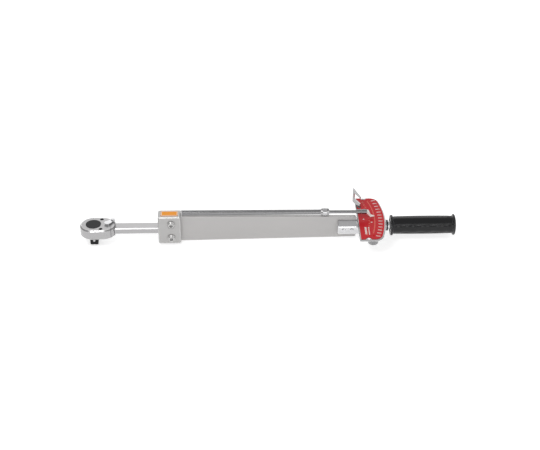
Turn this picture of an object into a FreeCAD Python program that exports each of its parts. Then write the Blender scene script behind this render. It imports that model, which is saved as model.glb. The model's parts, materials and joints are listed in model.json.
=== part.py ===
import FreeCAD, Part
import math
import os

import Sketcher

# Beam-type torque wrench with a ratchet head.
# Millimetres, +Z up, +X from the head towards the grip. The origin is on the drive axis, at the
# shoulder where a socket seats, so the square points down from it and the scale faces up.

SIZES = (
    # square drive and ratchet wheel
    ("drive_width", 12.7),
    ("drive_length", 15.4),
    ("drive_chamfer", 1.2),
    ("ball_radius", 2.4),
    ("ball_proud", 0.9),
    ("ball_bore_depth", 10.0),
    ("spring_wire", 0.5),
    ("boss_height", 2.5),
    ("boss_radius", 11.0),
    ("wheel_radius", 15.5),
    ("wheel_teeth", 36),
    ("tooth_depth", 1.4),
    ("tooth_half_width", 1.3),
    ("disc_radius", 12.2),
    ("disc_proud", 0.5),
    ("washer_thickness", 1.5),
    ("washer_room", 1.9),
    # ratchet housing and neck
    ("head_thickness", 17.0),
    ("head_radius", 21.3),
    ("shoulder_radius", 20.3),
    ("shoulder_offset", 16.0),
    ("head_bevel", 2.0),
    ("floor_thickness", 3.4),
    ("cover_thickness", 2.6),
    ("cover_margin", 2.4),
    ("cover_screw_offset", 12.5),
    ("cover_screw_spread", 14.2),
    ("cover_screw_head", 3.2),
    ("cover_screw_shank", 1.4),
    ("cover_screw_length", 8.0),
    ("neck_width", 17.9),
    ("neck_thickness", 10.2),
    ("neck_bevel", 1.1),
    ("tongue_length", 9.0),
    ("tongue_width", 10.0),
    ("tongue_height", 7.0),
    # pawl and reversing lever
    ("lever_offset", 22.5),
    ("lever_shaft", 3.1),
    ("lever_hub", 4.6),
    ("lever_reach", 15.6),
    ("lever_tab_width", 7.6),
    ("lever_tab_thickness", 2.2),
    ("lever_angle", 50.0),
    ("pawl_hub", 5.4),
    ("pawl_angle", 30.0),
    ("pawl_bite", 0.8),
    ("pawl_tilt", 6.0),
    ("chamber_start", 11.0),
    ("chamber_end", 29.0),
    ("chamber_half", 12.0),
    # clamp block
    ("block_start", 103.2),
    ("block_length", 36.0),
    ("block_depth", 23.4),
    ("block_height", 49.0),
    ("block_rise", 2.0),
    ("block_bevel", 1.6),
    ("clamp_offset", 20.8),
    ("clamp_upper", 13.0),
    ("clamp_lower", 12.0),
    ("clamp_shank", 4.0),
    ("clamp_head", 6.5),
    ("clamp_head_height", 4.2),
    ("clamp_nut", 6.2),
    ("clamp_nut_height", 5.0),
    ("label_length", 27.0),
    ("label_width", 14.0),
    ("label_thickness", 0.5),
    ("dowel_radius", 2.0),
    # measuring beam
    ("beam_thickness", 6.0),
    ("beam_root_height", 45.0),
    ("beam_tip_height", 37.4),
    ("beam_grip", 25.0),
    ("beam_shoulder", 2.5),
    ("beam_corner", 1.2),
    ("beam_free_length", 278.8),
    # pointer
    ("pointer_height", 28.0),
    ("pointer_droop", 0.38),
    ("tube_radius", 4.0),
    ("tube_wall", 1.0),
    ("tube_reach", 97.6),
    ("lug_thickness", 1.6),
    ("spigot_clearance", 0.1),
    ("spigot_length", 7.0),
    ("collar_offset", 4.2),
    ("collar_length", 13.3),
    ("collar_radius", 6.0),
    ("collar_crown", 0.9),
    ("rod_radius", 2.6),
    ("rod_insertion", 30.0),
    ("sleeve_reach", 152.2),
    ("sleeve_length", 16.6),
    ("sleeve_radius", 4.0),
    ("sleeve_groove", 0.7),
    ("blade_reach", 12.0),
    ("blade_width", 6.4),
    ("blade_thickness", 1.2),
    ("blade_drop", 8.2),
    # handle
    ("socket_overlap", 29.4),
    ("socket_radius", 13.5),
    ("socket_straight", 41.4),
    ("socket_length", 57.4),
    ("socket_end_radius", 9.0),
    ("seat_drop", 9.5),
    ("pin_radius", 2.0),
    ("pin_head", 3.6),
    ("pin_head_height", 1.5),
    ("pin_inset", 9.4),
    ("pin_spacing", 13.0),
    ("shaft_radius", 7.0),
    ("shaft_inset", 35.8),
    ("shaft_thread", 2.5),
    ("shaft_thread_depth", 12.0),
    ("shaft_collar_radius", 8.6),
    ("shaft_collar_length", 2.4),
    ("shaft_collar_offset", 2.0),
    ("core_radius", 12.0),
    ("grip_offset", 6.0),
    ("grip_length", 104.8),
    ("grip_radius", 14.0),
    ("grip_belly", 0.5),
    ("flange_radius", 16.5),
    ("flange_width", 3.2),
    ("end_flange_radius", 17.0),
    ("end_flange_width", 3.4),
    ("grip_end_wall", 3.4),
    ("grip_end_room", 4.0),
    ("end_screw_length", 11.0),
    ("end_screw_head", 4.5),
    ("end_screw_head_height", 2.2),
    ("end_washer_thickness", 1.1),
    # scale
    ("hinge_back", 151.6),
    ("plate_offset", 2.0),
    ("plate_length", 44.8),
    ("plate_half_width", 62.5),
    ("plate_thickness", 3.4),
    ("plate_corner", 15.0),
    ("rim", 2.0),
    ("face_thickness", 0.8),
    ("rivet_offset", 14.0),
    ("rivet_radius", 2.1),
    ("rivet_height", 0.9),
    ("notch_radius", 4.6),
    ("stud_inset", 16.4),
    ("stud_angle", 15.5),
    ("stud_radius", 2.0),
    ("stud_slot_travel", 1.9),
    ("knob_radius", 8.0),
    ("knob_height", 10.0),
    ("knob_flutes", 24),
    ("flute_radius", 0.6),
    ("knob_washer", 6.0),
    ("knob_washer_thickness", 1.0),
    ("ear_inner_offset", 7.0),
    ("ear_outer_offset", -3.0),
    ("ear_side_margin", 9.5),
    ("ear_spread", 21.0),
    ("ear_thickness", 1.8),
    ("ear_inner_rise", 21.0),
    ("ear_outer_rise", 25.0),
    ("ear_web", 4.0),
    ("ear_slot_margin", 1.0),
    ("seat_screw_radius", 1.5),
    ("seat_screw_head", 3.0),
    ("seat_screw_length", 5.6),
    ("seat_screw_offset", 7.0),
    ("seat_screw_spacing", 9.0),
    # clearances
    ("running_gap", 0.05),
    ("working_gap", 0.3),
)


class Size:
    """A length: its number now, and the sheet expression that gives it."""

    def __init__(self, value, text):
        self.value = value
        self.text = text

    def __add__(self, other):
        other = as_size(other)
        return Size(self.value + other.value, f"({self.text} + {other.text})")

    def __sub__(self, other):
        other = as_size(other)
        return Size(self.value - other.value, f"({self.text} - {other.text})")

    def __mul__(self, other):
        other = as_size(other)
        return Size(self.value * other.value, f"({self.text} * {other.text})")

    def __truediv__(self, other):
        other = as_size(other)
        return Size(self.value / other.value, f"({self.text} / {other.text})")

    def __radd__(self, other):
        return as_size(other) + self

    def __rsub__(self, other):
        return as_size(other) - self

    def __rmul__(self, other):
        return as_size(other) * self

    def __neg__(self):
        return as_size(0) - self


def as_size(number):
    if isinstance(number, Size):
        return number
    return Size(number, repr(number))


def sine(angle):
    angle = as_size(angle)
    return Size(math.sin(math.radians(angle.value)), f"sin({angle.text})")


def cosine(angle):
    angle = as_size(angle)
    return Size(math.cos(math.radians(angle.value)), f"cos({angle.text})")


def root(square):
    return Size(math.sqrt(square.value), f"sqrt({square.text})")


def turned(point, angle):
    """The point turned about the origin, anticlockwise."""
    x, y = point
    return (
        x * cosine(angle) - y * sine(angle),
        x * sine(angle) + y * cosine(angle),
    )


doc = FreeCAD.newDocument("TorqueWrench")
sheet = doc.addObject("Spreadsheet::Sheet", "Dimensions")


class Dimensions:
    """Every cell of the sheet, by its alias."""


d = Dimensions()
for row, (alias, number) in enumerate(SIZES, start=1):
    sheet.set(f"A{row}", alias)
    sheet.set(f"B{row}", str(number))
    sheet.setAlias(f"B{row}", alias)
    setattr(d, alias, Size(number, f"Dimensions.{alias}"))
doc.recompute()

FAR = 200  # longer than any cut is deep
PARTS = []

# Heights and places that several pieces share.
mid = d.boss_height + d.head_thickness / 2
head_top = d.boss_height + d.head_thickness
floor_top = d.boss_height + d.floor_thickness
cover_under = head_top - d.cover_thickness
wheel_low = floor_top + d.running_gap * 2
d.wheel_thickness = cover_under - wheel_low - d.washer_room
d.pawl_thickness = d.wheel_thickness - 2 * d.working_gap
wheel_top = wheel_low + d.wheel_thickness
block_end = d.block_start + d.block_length
block_mid = d.block_start + d.block_length / 2
block_low = mid + d.block_rise - d.block_height / 2
block_top = block_low + d.block_height
tongue_half = d.beam_root_height / 2 - d.beam_shoulder
d.beam_end = block_end + d.beam_free_length
d.hinge_place = d.beam_end - d.hinge_back
d.tube_end = d.hinge_place + d.tube_reach
d.collar_centre = d.tube_end + d.collar_offset
d.sleeve_start = d.hinge_place + d.sleeve_reach
d.socket_start = d.beam_end - d.socket_overlap
d.socket_taper_start = d.socket_start + d.socket_straight
d.socket_end = d.socket_start + d.socket_length
d.pin_first = d.socket_start + d.pin_inset
d.shaft_start = d.socket_start + d.shaft_inset
d.plate_start = d.beam_end + d.plate_offset
d.plate_outer = d.plate_start + d.plate_length - d.hinge_place
d.rivet_place = d.plate_start + d.rivet_offset
d.stud_ring = d.plate_outer - d.stud_inset
d.ear_inner_x = d.plate_start + d.ear_inner_offset
d.ear_outer_x = d.plate_start + d.ear_outer_offset
d.ear_outer_y = d.plate_half_width - d.ear_side_margin
d.ear_inner_y = d.ear_outer_y - d.ear_spread
d.seat_screw_first = d.plate_start + d.seat_screw_offset
d.shaft_collar_place = d.plate_start + d.plate_length + d.shaft_collar_offset
d.grip_start = d.shaft_collar_place + d.grip_offset
shaft_end = d.grip_start + d.grip_length - d.grip_end_wall - d.grip_end_room
seat_level = mid + d.seat_drop
plate_top = seat_level + d.plate_thickness
face_top = plate_top + d.face_thickness
pointer_axis = mid + d.pointer_height
ALONG_X = FreeCAD.Rotation(FreeCAD.Vector(0, 1, 0), 90)
ALONG_Y = FreeCAD.Rotation(FreeCAD.Vector(1, 0, 0), -90)
ALONG_Z = FreeCAD.Rotation()


# ---------------------------------------------------------------- helpers


def put(thing, x=0, y=0, z=0, rotation=ALONG_Z):
    thing.Placement = FreeCAD.Placement(FreeCAD.Vector(0, 0, 0), rotation)
    for letter, place in zip("xyz", (x, y, z)):
        thing.setExpression(f"Placement.Base.{letter}", as_size(place).text)
    return thing


def named(thing, label):
    thing.Label = label
    PARTS.append(thing)
    return thing


def new_body(label, x=0, y=0, z=0, rotation=ALONG_Z):
    body = put(doc.addObject("PartDesign::Body", "Body"), x, y, z, rotation)
    return named(body, label)


def sketch_on(body, plane, lift=0):
    sketch = body.newObject("Sketcher::SketchObject", "Sketch")
    planes = [item for item in body.Origin.OriginFeatures if item.Role == plane]
    sketch.AttachmentSupport = (planes[0], [""])
    sketch.MapMode = "FlatFace"
    sketch.setExpression("AttachmentOffset.Base.z", as_size(lift).text)
    return sketch


def bind(sketch, kind, *where):
    """One dimension of a sketch, bound to a Size, which comes last."""
    *where, size = where
    size = as_size(size)
    index = sketch.addConstraint(Sketcher.Constraint(kind, *where, size.value))
    sketch.setExpression(f"Constraints[{index}]", size.text)


def fix_point(sketch, geometry, corner, x, y):
    bind(sketch, "DistanceX", -1, 1, geometry, corner, x)
    bind(sketch, "DistanceY", -1, 1, geometry, corner, y)


def outline(sketch, points):
    """A closed outline of straight edges through the points."""
    vectors = [FreeCAD.Vector(as_size(x).value, as_size(y).value, 0) for x, y in points]
    edges = []
    for index, start in enumerate(vectors):
        end = vectors[(index + 1) % len(vectors)]
        edges.append(sketch.addGeometry(Part.LineSegment(start, end)))
    for index, edge in enumerate(edges):
        following = edges[(index + 1) % len(edges)]
        sketch.addConstraint(Sketcher.Constraint("Coincident", edge, 2, following, 1))
    for edge, (x, y) in zip(edges, points):
        fix_point(sketch, edge, 1, x, y)
    return edges


def rectangle(sketch, x_low, y_low, x_high, y_high):
    return outline(sketch, [(x_low, y_low), (x_high, y_low), (x_high, y_high), (x_low, y_high)])


def circle(sketch, x, y, radius):
    centre = FreeCAD.Vector(as_size(x).value, as_size(y).value, 0)
    ring = sketch.addGeometry(Part.Circle(centre, FreeCAD.Vector(0, 0, 1), as_size(radius).value))
    fix_point(sketch, ring, 3, x, y)
    bind(sketch, "Radius", ring, radius)
    return ring


def extrude(body, kind, sketch, length, side="One side", backwards=False):
    feature = body.newObject(f"PartDesign::{kind}", kind)
    feature.Profile = sketch
    feature.SideType = side
    feature.Reversed = backwards
    feature.setExpression("Length", as_size(length).text)
    sketch.Visibility = False
    return feature


def pad(body, sketch, length, **options):
    return extrude(body, "Pad", sketch, length, **options)


def pocket(body, sketch, length, **options):
    return extrude(body, "Pocket", sketch, length, **options)


def revolve(body, sketch, axis):
    feature = body.newObject("PartDesign::Revolution", "Revolution")
    feature.Profile = sketch
    feature.ReferenceAxis = (sketch, [axis])
    feature.Angle = 360
    return feature


def polar(body, feature, count):
    """Repeat a feature about the body's Z axis."""
    axes = [item for item in body.Origin.OriginFeatures if item.Role == "Z_Axis"]
    pattern = body.newObject("PartDesign::PolarPattern", "PolarPattern")
    pattern.Originals = [feature]
    pattern.Axis = (axes[0], [""])
    pattern.Angle = 360
    pattern.setExpression("Occurrences", count.text)
    body.Tip = pattern
    return pattern


def dress(body, kind, size, chosen):
    """A Fillet or Chamfer on the edges of the body's tip that chosen() accepts."""
    doc.recompute()
    base = body.Tip
    names = [f"Edge{n}" for n, edge in enumerate(base.Shape.Edges, start=1) if chosen(edge)]
    feature = body.newObject(f"PartDesign::{kind}", kind)
    feature.Base = (base, names)
    feature.setExpression("Radius" if kind == "Fillet" else "Size", as_size(size).text)
    return feature


def along(axis):
    """Picks the straight edges parallel to an axis, 0 to 2 for X to Z."""

    def test(edge):
        if edge.Curve.TypeId != "Part::GeomLine":
            return False
        return abs(abs(edge.tangentAt(edge.FirstParameter)[axis]) - 1) < 1e-6

    return test


def at_height(*levels):
    """Picks the edges that lie whole in a level plane."""

    def test(edge):
        box = edge.BoundBox
        flat = box.ZMax - box.ZMin < 1e-6
        return flat and any(abs(box.ZMin - as_size(level).value) < 1e-4 for level in levels)

    return test


def cylinder(radius, length, x=0, y=0, z=0, rotation=ALONG_Z):
    thing = doc.addObject("Part::Cylinder", "Cylinder")
    thing.setExpression("Radius", as_size(radius).text)
    thing.setExpression("Height", as_size(length).text)
    return put(thing, x, y, z, rotation)


def joined(kind, first, second):
    """Part::Cut or Part::Fuse of two things."""
    thing = doc.addObject(f"Part::{kind}", kind)
    thing.Base = first
    thing.Tool = second
    return thing


def group(label, pieces):
    """Identical pieces that share one file."""
    thing = doc.addObject("Part::Compound", "Compound")
    thing.Links = pieces
    return named(thing, label)


def coil(label, radius, wire, length, turns, x, y, z, rotation):
    """A helical spring that starts at its place and runs along its own axis."""
    helix = doc.addObject("Part::Helix", "Helix")
    helix.setExpression("Radius", radius.text)
    helix.setExpression("Height", (length - wire).text)
    helix.setExpression("Pitch", ((length - wire) / turns).text)
    ring = doc.addObject("Part::Circle", "WireSection")
    ring.setExpression("Radius", (wire / 2).text)
    put(ring, radius, 0, 0, FreeCAD.Rotation(FreeCAD.Vector(1, 0, 0), 90))
    sweep = doc.addObject("Part::Sweep", "Sweep")
    doc.recompute()
    sweep.Sections = [ring]
    sweep.Spine = (helix, [f"Edge{n + 1}" for n in range(len(helix.Shape.Edges))])
    sweep.Solid = True
    sweep.Frenet = True
    return named(put(sweep, x, y, z, rotation), label)


# ---------------------------------------------------------------- ratchet head


def head_outline(sketch, inset):
    """Two arcs joined by their common tangents: the round nose and the wider shoulder."""
    nose = d.head_radius - inset
    shoulder = d.shoulder_radius - inset
    lean = (nose - shoulder) / d.shoulder_offset
    rise = root(1 - lean * lean)
    centre = FreeCAD.Vector(0, 0, 0)
    second = FreeCAD.Vector(d.shoulder_offset.value, 0, 0)
    up = FreeCAD.Vector(0, 0, 1)
    angle = math.acos(lean.value)
    left = sketch.addGeometry(
        Part.ArcOfCircle(Part.Circle(centre, up, nose.value), angle, 2 * math.pi - angle)
    )
    right = sketch.addGeometry(
        Part.ArcOfCircle(Part.Circle(second, up, shoulder.value), -angle, angle)
    )
    upper = sketch.addGeometry(
        Part.LineSegment(
            FreeCAD.Vector(nose.value * lean.value, nose.value * rise.value, 0),
            second + FreeCAD.Vector(shoulder.value * lean.value, shoulder.value * rise.value, 0),
        )
    )
    lower = sketch.addGeometry(
        Part.LineSegment(
            second + FreeCAD.Vector(shoulder.value * lean.value, -shoulder.value * rise.value, 0),
            FreeCAD.Vector(nose.value * lean.value, -nose.value * rise.value, 0),
        )
    )
    sketch.addConstraint(Sketcher.Constraint("Tangent", left, 1, upper, 1))
    sketch.addConstraint(Sketcher.Constraint("Tangent", upper, 2, right, 2))
    sketch.addConstraint(Sketcher.Constraint("Tangent", right, 1, lower, 1))
    sketch.addConstraint(Sketcher.Constraint("Tangent", lower, 2, left, 2))
    fix_point(sketch, left, 3, 0, 0)
    fix_point(sketch, right, 3, d.shoulder_offset, 0)
    bind(sketch, "Radius", left, nose)
    bind(sketch, "Radius", right, shoulder)


def cover_screw_places():
    return [(d.cover_screw_offset, side * d.cover_screw_spread) for side in (1, -1)]


def make_ratchet_housing():
    body = new_body("ratchet_housing")
    neck = sketch_on(body, "YZ_Plane", d.shoulder_offset)
    half = d.neck_width / 2
    rectangle(neck, -half, mid - d.neck_thickness / 2, half, mid + d.neck_thickness / 2)
    pad(body, neck, d.block_start - d.shoulder_offset)
    dress(body, "Chamfer", d.neck_bevel, along(0))
    shell = sketch_on(body, "XY_Plane", d.boss_height)
    head_outline(shell, 0)
    pad(body, shell, d.head_thickness)
    dress(body, "Chamfer", d.head_bevel, at_height(d.boss_height, head_top))
    tongue = sketch_on(body, "YZ_Plane", d.block_start)
    half = d.tongue_width / 2
    rectangle(tongue, -half, mid - d.tongue_height / 2, half, mid + d.tongue_height / 2)
    pad(body, tongue, d.tongue_length)
    recess = sketch_on(body, "XY_Plane", head_top)
    head_outline(recess, d.cover_margin)
    pocket(body, recess, d.cover_thickness)
    wheel_room = sketch_on(body, "XY_Plane", cover_under)
    circle(wheel_room, 0, 0, d.wheel_radius + d.working_gap)
    pocket(body, wheel_room, cover_under - floor_top)
    chamber = sketch_on(body, "XY_Plane", cover_under)
    rectangle(chamber, d.chamber_start, -d.chamber_half, d.chamber_end, d.chamber_half)
    pocket(body, chamber, cover_under - floor_top)
    bore = sketch_on(body, "XY_Plane", floor_top)
    circle(bore, 0, 0, d.boss_radius + d.running_gap)
    pocket(body, bore, FAR)
    for x, y in cover_screw_places():
        thread = sketch_on(body, "XY_Plane", cover_under)
        circle(thread, x, y, d.cover_screw_shank + d.running_gap)
        pocket(body, thread, d.cover_screw_length)
    dowel = sketch_on(body, "XY_Plane", mid)
    circle(dowel, d.block_start + d.tongue_length / 2, 0, d.dowel_radius + d.running_gap)
    pocket(body, dowel, FAR, side="Symmetric")


def make_cover_plate():
    body = new_body("ratchet_cover")
    plate = sketch_on(body, "XY_Plane", cover_under)
    head_outline(plate, d.cover_margin + d.running_gap)
    pad(body, plate, d.cover_thickness)
    holes = sketch_on(body, "XY_Plane", head_top)
    circle(holes, 0, 0, d.disc_radius + d.running_gap)
    circle(holes, d.lever_offset, 0, d.lever_hub + d.running_gap)
    pocket(body, holes, FAR, side="Symmetric")
    heads = sketch_on(body, "XY_Plane", head_top)
    for x, y in cover_screw_places():
        circle(heads, x, y, d.cover_screw_head + d.running_gap)
    pocket(body, heads, d.cover_thickness * 0.7)
    shanks = sketch_on(body, "XY_Plane", head_top)
    for x, y in cover_screw_places():
        circle(shanks, x, y, d.cover_screw_shank + d.running_gap)
    pocket(body, shanks, FAR, side="Symmetric")


def make_cover_screws():
    pieces = []
    head_height = d.cover_thickness * 0.7
    for x, y in cover_screw_places():
        head = cylinder(d.cover_screw_head, head_height, x, y, head_top - head_height)
        shank_low = cover_under - d.cover_screw_length + d.working_gap
        shank = cylinder(d.cover_screw_shank, head_top - head_height - shank_low, x, y, shank_low)
        screw = joined("Fuse", head, shank)
        depth = head_height / 2
        socket = cylinder(d.cover_screw_head * 0.4, depth, x, y, head_top - depth)
        pieces.append(joined("Cut", screw, socket))
    group("cover_screws", pieces)


def make_drive_spindle():
    body = new_body("drive_spindle")
    square = sketch_on(body, "XY_Plane", -d.drive_length)
    half = d.drive_width / 2
    rectangle(square, -half, -half, half, half)
    pad(body, square, d.drive_length + d.boss_height / 2)
    dress(body, "Chamfer", d.drive_chamfer, at_height(-d.drive_length))
    dress(body, "Chamfer", d.drive_chamfer / 2, along(2))
    boss = sketch_on(body, "XY_Plane", 0)
    circle(boss, 0, 0, d.boss_radius)
    pad(body, boss, wheel_low)
    wheel = sketch_on(body, "XY_Plane", wheel_low)
    circle(wheel, 0, 0, d.wheel_radius)
    pad(body, wheel, d.wheel_thickness)
    disc = sketch_on(body, "XY_Plane", wheel_top)
    circle(disc, 0, 0, d.disc_radius)
    pad(body, disc, head_top + d.disc_proud - wheel_top)
    bore = sketch_on(body, "XZ_Plane", half - d.ball_bore_depth)
    circle(bore, 0, -d.drive_length / 2, d.ball_radius + d.running_gap)
    pocket(body, bore, d.ball_bore_depth + 1, backwards=True)
    gap = sketch_on(body, "XY_Plane", wheel_top)
    outside = d.wheel_radius + 0.2
    outline(
        gap,
        [
            (d.wheel_radius - d.tooth_depth, 0),
            (outside, -d.tooth_half_width),
            (outside, d.tooth_half_width),
        ],
    )
    cut = pocket(body, gap, d.wheel_thickness)
    polar(body, cut, d.wheel_teeth)


def make_ball_detent():
    ball = doc.addObject("Part::Sphere", "Sphere")
    ball.setExpression("Radius", d.ball_radius.text)
    centre = d.drive_width / 2 + d.ball_proud - d.ball_radius
    named(put(ball, 0, -centre, -d.drive_length / 2), "detent_ball")
    inner = d.ball_bore_depth - d.drive_width / 2
    length = inner + centre - d.ball_radius - d.running_gap * 2
    start = -(centre - d.ball_radius) + d.running_gap + d.spring_wire / 2
    radius = d.ball_radius - d.spring_wire
    coil("detent_spring", radius, d.spring_wire, length, 5, 0, start, -d.drive_length / 2, ALONG_Y)


def make_wave_washer():
    low = wheel_top + (cover_under - wheel_top - d.washer_thickness) / 2
    outer = cylinder(d.wheel_radius - d.tooth_depth, d.washer_thickness, z=low)
    inner = cylinder(d.disc_radius + d.running_gap, d.washer_thickness, z=low)
    named(joined("Cut", outer, inner), "wheel_washer")


def make_pawl():
    body = new_body("pawl", d.lever_offset, 0, wheel_low + d.running_gap)
    reach = d.wheel_radius - d.pawl_bite
    tip = (
        reach * cosine(d.pawl_angle) - d.lever_offset,
        reach * sine(d.pawl_angle),
    )
    behind = 2.2  # depth of the nose behind its tip
    spread = 1.5  # half width of the nose at that depth
    outward = turned((behind, spread), d.pawl_angle)
    inward = turned((behind, -spread), d.pawl_angle)
    shoulder = (tip[0] + outward[0], tip[1] + outward[1])
    throat = (tip[0] + inward[0], tip[1] + inward[1])
    # The second nose is the first one mirrored, then turned to the idle side of the pawl.
    idle = [turned((x, -y), 2 * d.pawl_tilt) for x, y in (throat, tip, shoulder)]
    waist = d.pawl_hub * 0.9
    arms = sketch_on(body, "XY_Plane")
    outline(arms, [(0, waist), shoulder, tip, throat, (-waist, 0), *idle, (0, -waist)])
    pad(body, arms, d.pawl_thickness)
    hub = sketch_on(body, "XY_Plane")
    circle(hub, 0, 0, d.pawl_hub)
    pad(body, hub, d.pawl_thickness)
    bore = sketch_on(body, "XY_Plane")
    circle(bore, 0, 0, d.lever_shaft + d.running_gap)
    pocket(body, bore, FAR, side="Symmetric")


def make_reversing_lever():
    turn = FreeCAD.Rotation(FreeCAD.Vector(0, 0, 1), d.lever_angle.value)
    body = new_body("reversing_lever", d.lever_offset, 0, 0, turn)
    shaft = sketch_on(body, "XY_Plane", floor_top + d.working_gap)
    circle(shaft, 0, 0, d.lever_shaft)
    pad(body, shaft, cover_under - floor_top)
    hub = sketch_on(body, "XY_Plane", wheel_low + d.pawl_thickness + d.working_gap)
    circle(hub, 0, 0, d.lever_hub)
    tab_low = head_top + d.working_gap
    pad(body, hub, tab_low - wheel_low - d.pawl_thickness)
    half = d.lever_tab_width / 2
    tab = sketch_on(body, "XY_Plane", tab_low)
    end = d.lever_reach - half * 0.85
    root_half = half * 1.2
    tip_half = half * 0.8
    outline(
        tab,
        [(-d.lever_hub * 1.5, 0), (0, -root_half), (end, -tip_half), (end, tip_half), (0, root_half)],
    )
    pad(body, tab, d.lever_tab_thickness)
    thumb = sketch_on(body, "XY_Plane", tab_low)
    circle(thumb, end, 0, half * 0.85)
    pad(body, thumb, d.lever_tab_thickness * 1.8)
    crown = sketch_on(body, "XY_Plane", tab_low)
    circle(crown, 0, 0, d.lever_hub * 1.05)
    pad(body, crown, d.lever_tab_thickness * 1.3)


# ---------------------------------------------------------------- clamp block and beam


def clamp_places():
    x = d.block_start + d.clamp_offset
    return [(x, mid + d.clamp_upper), (x, mid - d.clamp_lower)]


def make_clamp_block():
    body = new_body("clamp_block")
    side = sketch_on(body, "XZ_Plane")
    rectangle(side, d.block_start, block_low, block_end, block_top)
    pad(body, side, d.block_depth, side="Symmetric")
    dress(body, "Chamfer", d.block_bevel, lambda edge: True)
    beam_slot = sketch_on(body, "YZ_Plane", block_end)
    width = d.beam_thickness / 2 + d.running_gap
    height = tongue_half + d.running_gap
    rectangle(beam_slot, -width, mid - height, width, mid + height)
    pocket(body, beam_slot, d.beam_grip)
    mouth = sketch_on(body, "YZ_Plane", d.block_start)
    width = d.tongue_width / 2 + d.running_gap
    height = d.tongue_height / 2 + d.running_gap
    rectangle(mouth, -width, mid - height, width, mid + height)
    pocket(body, mouth, d.tongue_length + d.running_gap, backwards=True)
    for x, z in clamp_places():
        hole = sketch_on(body, "XZ_Plane")
        circle(hole, x, z, d.clamp_shank + d.running_gap)
        pocket(body, hole, FAR, side="Symmetric")
        nut_seat = sketch_on(body, "XZ_Plane", -d.block_depth / 2)
        circle(nut_seat, x, z, d.clamp_nut + d.running_gap)
        pocket(body, nut_seat, d.clamp_nut_height, backwards=True)
    dowel = sketch_on(body, "XY_Plane", block_low)
    circle(dowel, d.block_start + d.tongue_length / 2, 0, d.dowel_radius + d.running_gap)
    pocket(body, dowel, mid - block_low + d.tongue_height / 2, backwards=True)


def make_block_dowel():
    low = block_low + d.working_gap
    length = mid - block_low + d.tongue_height / 2 - 2 * d.working_gap
    x = d.block_start + d.tongue_length / 2
    named(cylinder(d.dowel_radius, length, x, 0, low), "tongue_dowel")


def make_clamp_screws():
    screws = []
    nuts = []
    front = -d.block_depth / 2
    back = d.block_depth / 2
    for x, z in clamp_places():
        screw = doc.addObject("PartDesign::Body", "Screw")
        put(screw, x, 0, z, ALONG_Y)
        profile = sketch_on(screw, "XZ_Plane")
        crown = d.clamp_head * 0.62
        outline(
            profile,
            [
                (0, front - d.clamp_head_height),
                (crown, front - d.clamp_head_height),
                (d.clamp_head, front - d.clamp_head_height * 0.45),
                (d.clamp_head, front),
                (d.clamp_shank, front),
                (d.clamp_shank, back - d.working_gap),
                (0, back - d.working_gap),
            ],
        )
        revolve(screw, profile, "V_Axis")
        key = sketch_on(screw, "XY_Plane", front - d.clamp_head_height)
        hexagon(key, d.clamp_shank * 0.8)
        pocket(screw, key, d.clamp_head_height * 0.7, backwards=True)
        screws.append(screw)
        nut = cylinder(d.clamp_nut, d.clamp_nut_height, x, back - d.clamp_nut_height, z, ALONG_Y)
        bore = cylinder(
            d.clamp_shank + d.running_gap, d.clamp_nut_height, x, back - d.clamp_nut_height, z, ALONG_Y
        )
        nuts.append(joined("Cut", nut, bore))
    group("clamp_screws", screws)
    group("clamp_nuts", nuts)


def hexagon(sketch, radius):
    outline(sketch, [(radius * cosine(60 * n), radius * sine(60 * n)) for n in range(6)])


def make_label_plate():
    body = new_body("label_plate", block_mid, 0, block_top)
    plate = sketch_on(body, "XY_Plane")
    rectangle(plate, -d.label_length / 2, -d.label_width / 2, d.label_length / 2, d.label_width / 2)
    pad(body, plate, d.label_thickness)
    dress(body, "Fillet", d.label_width / 10, along(2))


def make_spring_beam():
    body = new_body("spring_beam")
    profile = sketch_on(body, "XZ_Plane")
    start = block_end - d.beam_grip + d.running_gap
    upper = d.beam_root_height / 2
    tip = d.beam_tip_height / 2
    corner = d.beam_corner
    outline(
        profile,
        [
            (start, mid - tongue_half),
            (block_end, mid - tongue_half),
            (block_end, mid - upper),
            (d.beam_end - corner, mid - tip),
            (d.beam_end, mid - tip + corner),
            (d.beam_end, mid + tip - corner),
            (d.beam_end - corner, mid + tip),
            (block_end, mid + upper),
            (block_end, mid + tongue_half),
            (start, mid + tongue_half),
        ],
    )
    pad(body, profile, d.beam_thickness, side="Symmetric")
    for x, z in clamp_places():
        hole = sketch_on(body, "XZ_Plane")
        circle(hole, x, z, d.clamp_shank + d.running_gap)
        pocket(body, hole, FAR, side="Symmetric")
    for number in range(2):
        hole = sketch_on(body, "XZ_Plane")
        circle(hole, d.pin_first + number * d.pin_spacing, mid, d.pin_radius + d.running_gap)
        pocket(body, hole, FAR, side="Symmetric")


# ---------------------------------------------------------------- pointer

# The pointer parts lie on one axis that droops a little, as the beam's top edge does. Each is built
# along its own +X from the face of the clamp block.
POINTER_TILT = FreeCAD.Rotation(FreeCAD.Vector(0, 1, 0), d.pointer_droop.value)


def pointer_body(label):
    return new_body(label, block_end, 0, pointer_axis, POINTER_TILT)


def turned_piece(label, profile):
    """A round piece on the pointer axis. The profile is (place along the axis, radius) pairs."""
    body = pointer_body(label)
    sketch = sketch_on(body, "XZ_Plane")
    outline(sketch, profile)
    revolve(body, sketch, "H_Axis")
    return body


def make_pointer_anchor():
    """The bracket on the block that the tube is pressed on: an upright lug with a spigot."""
    body = new_body("pointer_anchor")
    lug = sketch_on(body, "YZ_Plane", block_end)
    width = d.tube_radius
    low = mid + d.beam_root_height / 2 + d.working_gap
    rectangle(lug, -width, low, width, pointer_axis + d.tube_radius * 0.6)
    pad(body, lug, d.lug_thickness)
    spigot = sketch_on(body, "YZ_Plane", block_end + 1)
    circle(spigot, 0, pointer_axis, d.tube_radius - d.tube_wall - d.spigot_clearance)
    pad(body, spigot, d.spigot_length)


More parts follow.
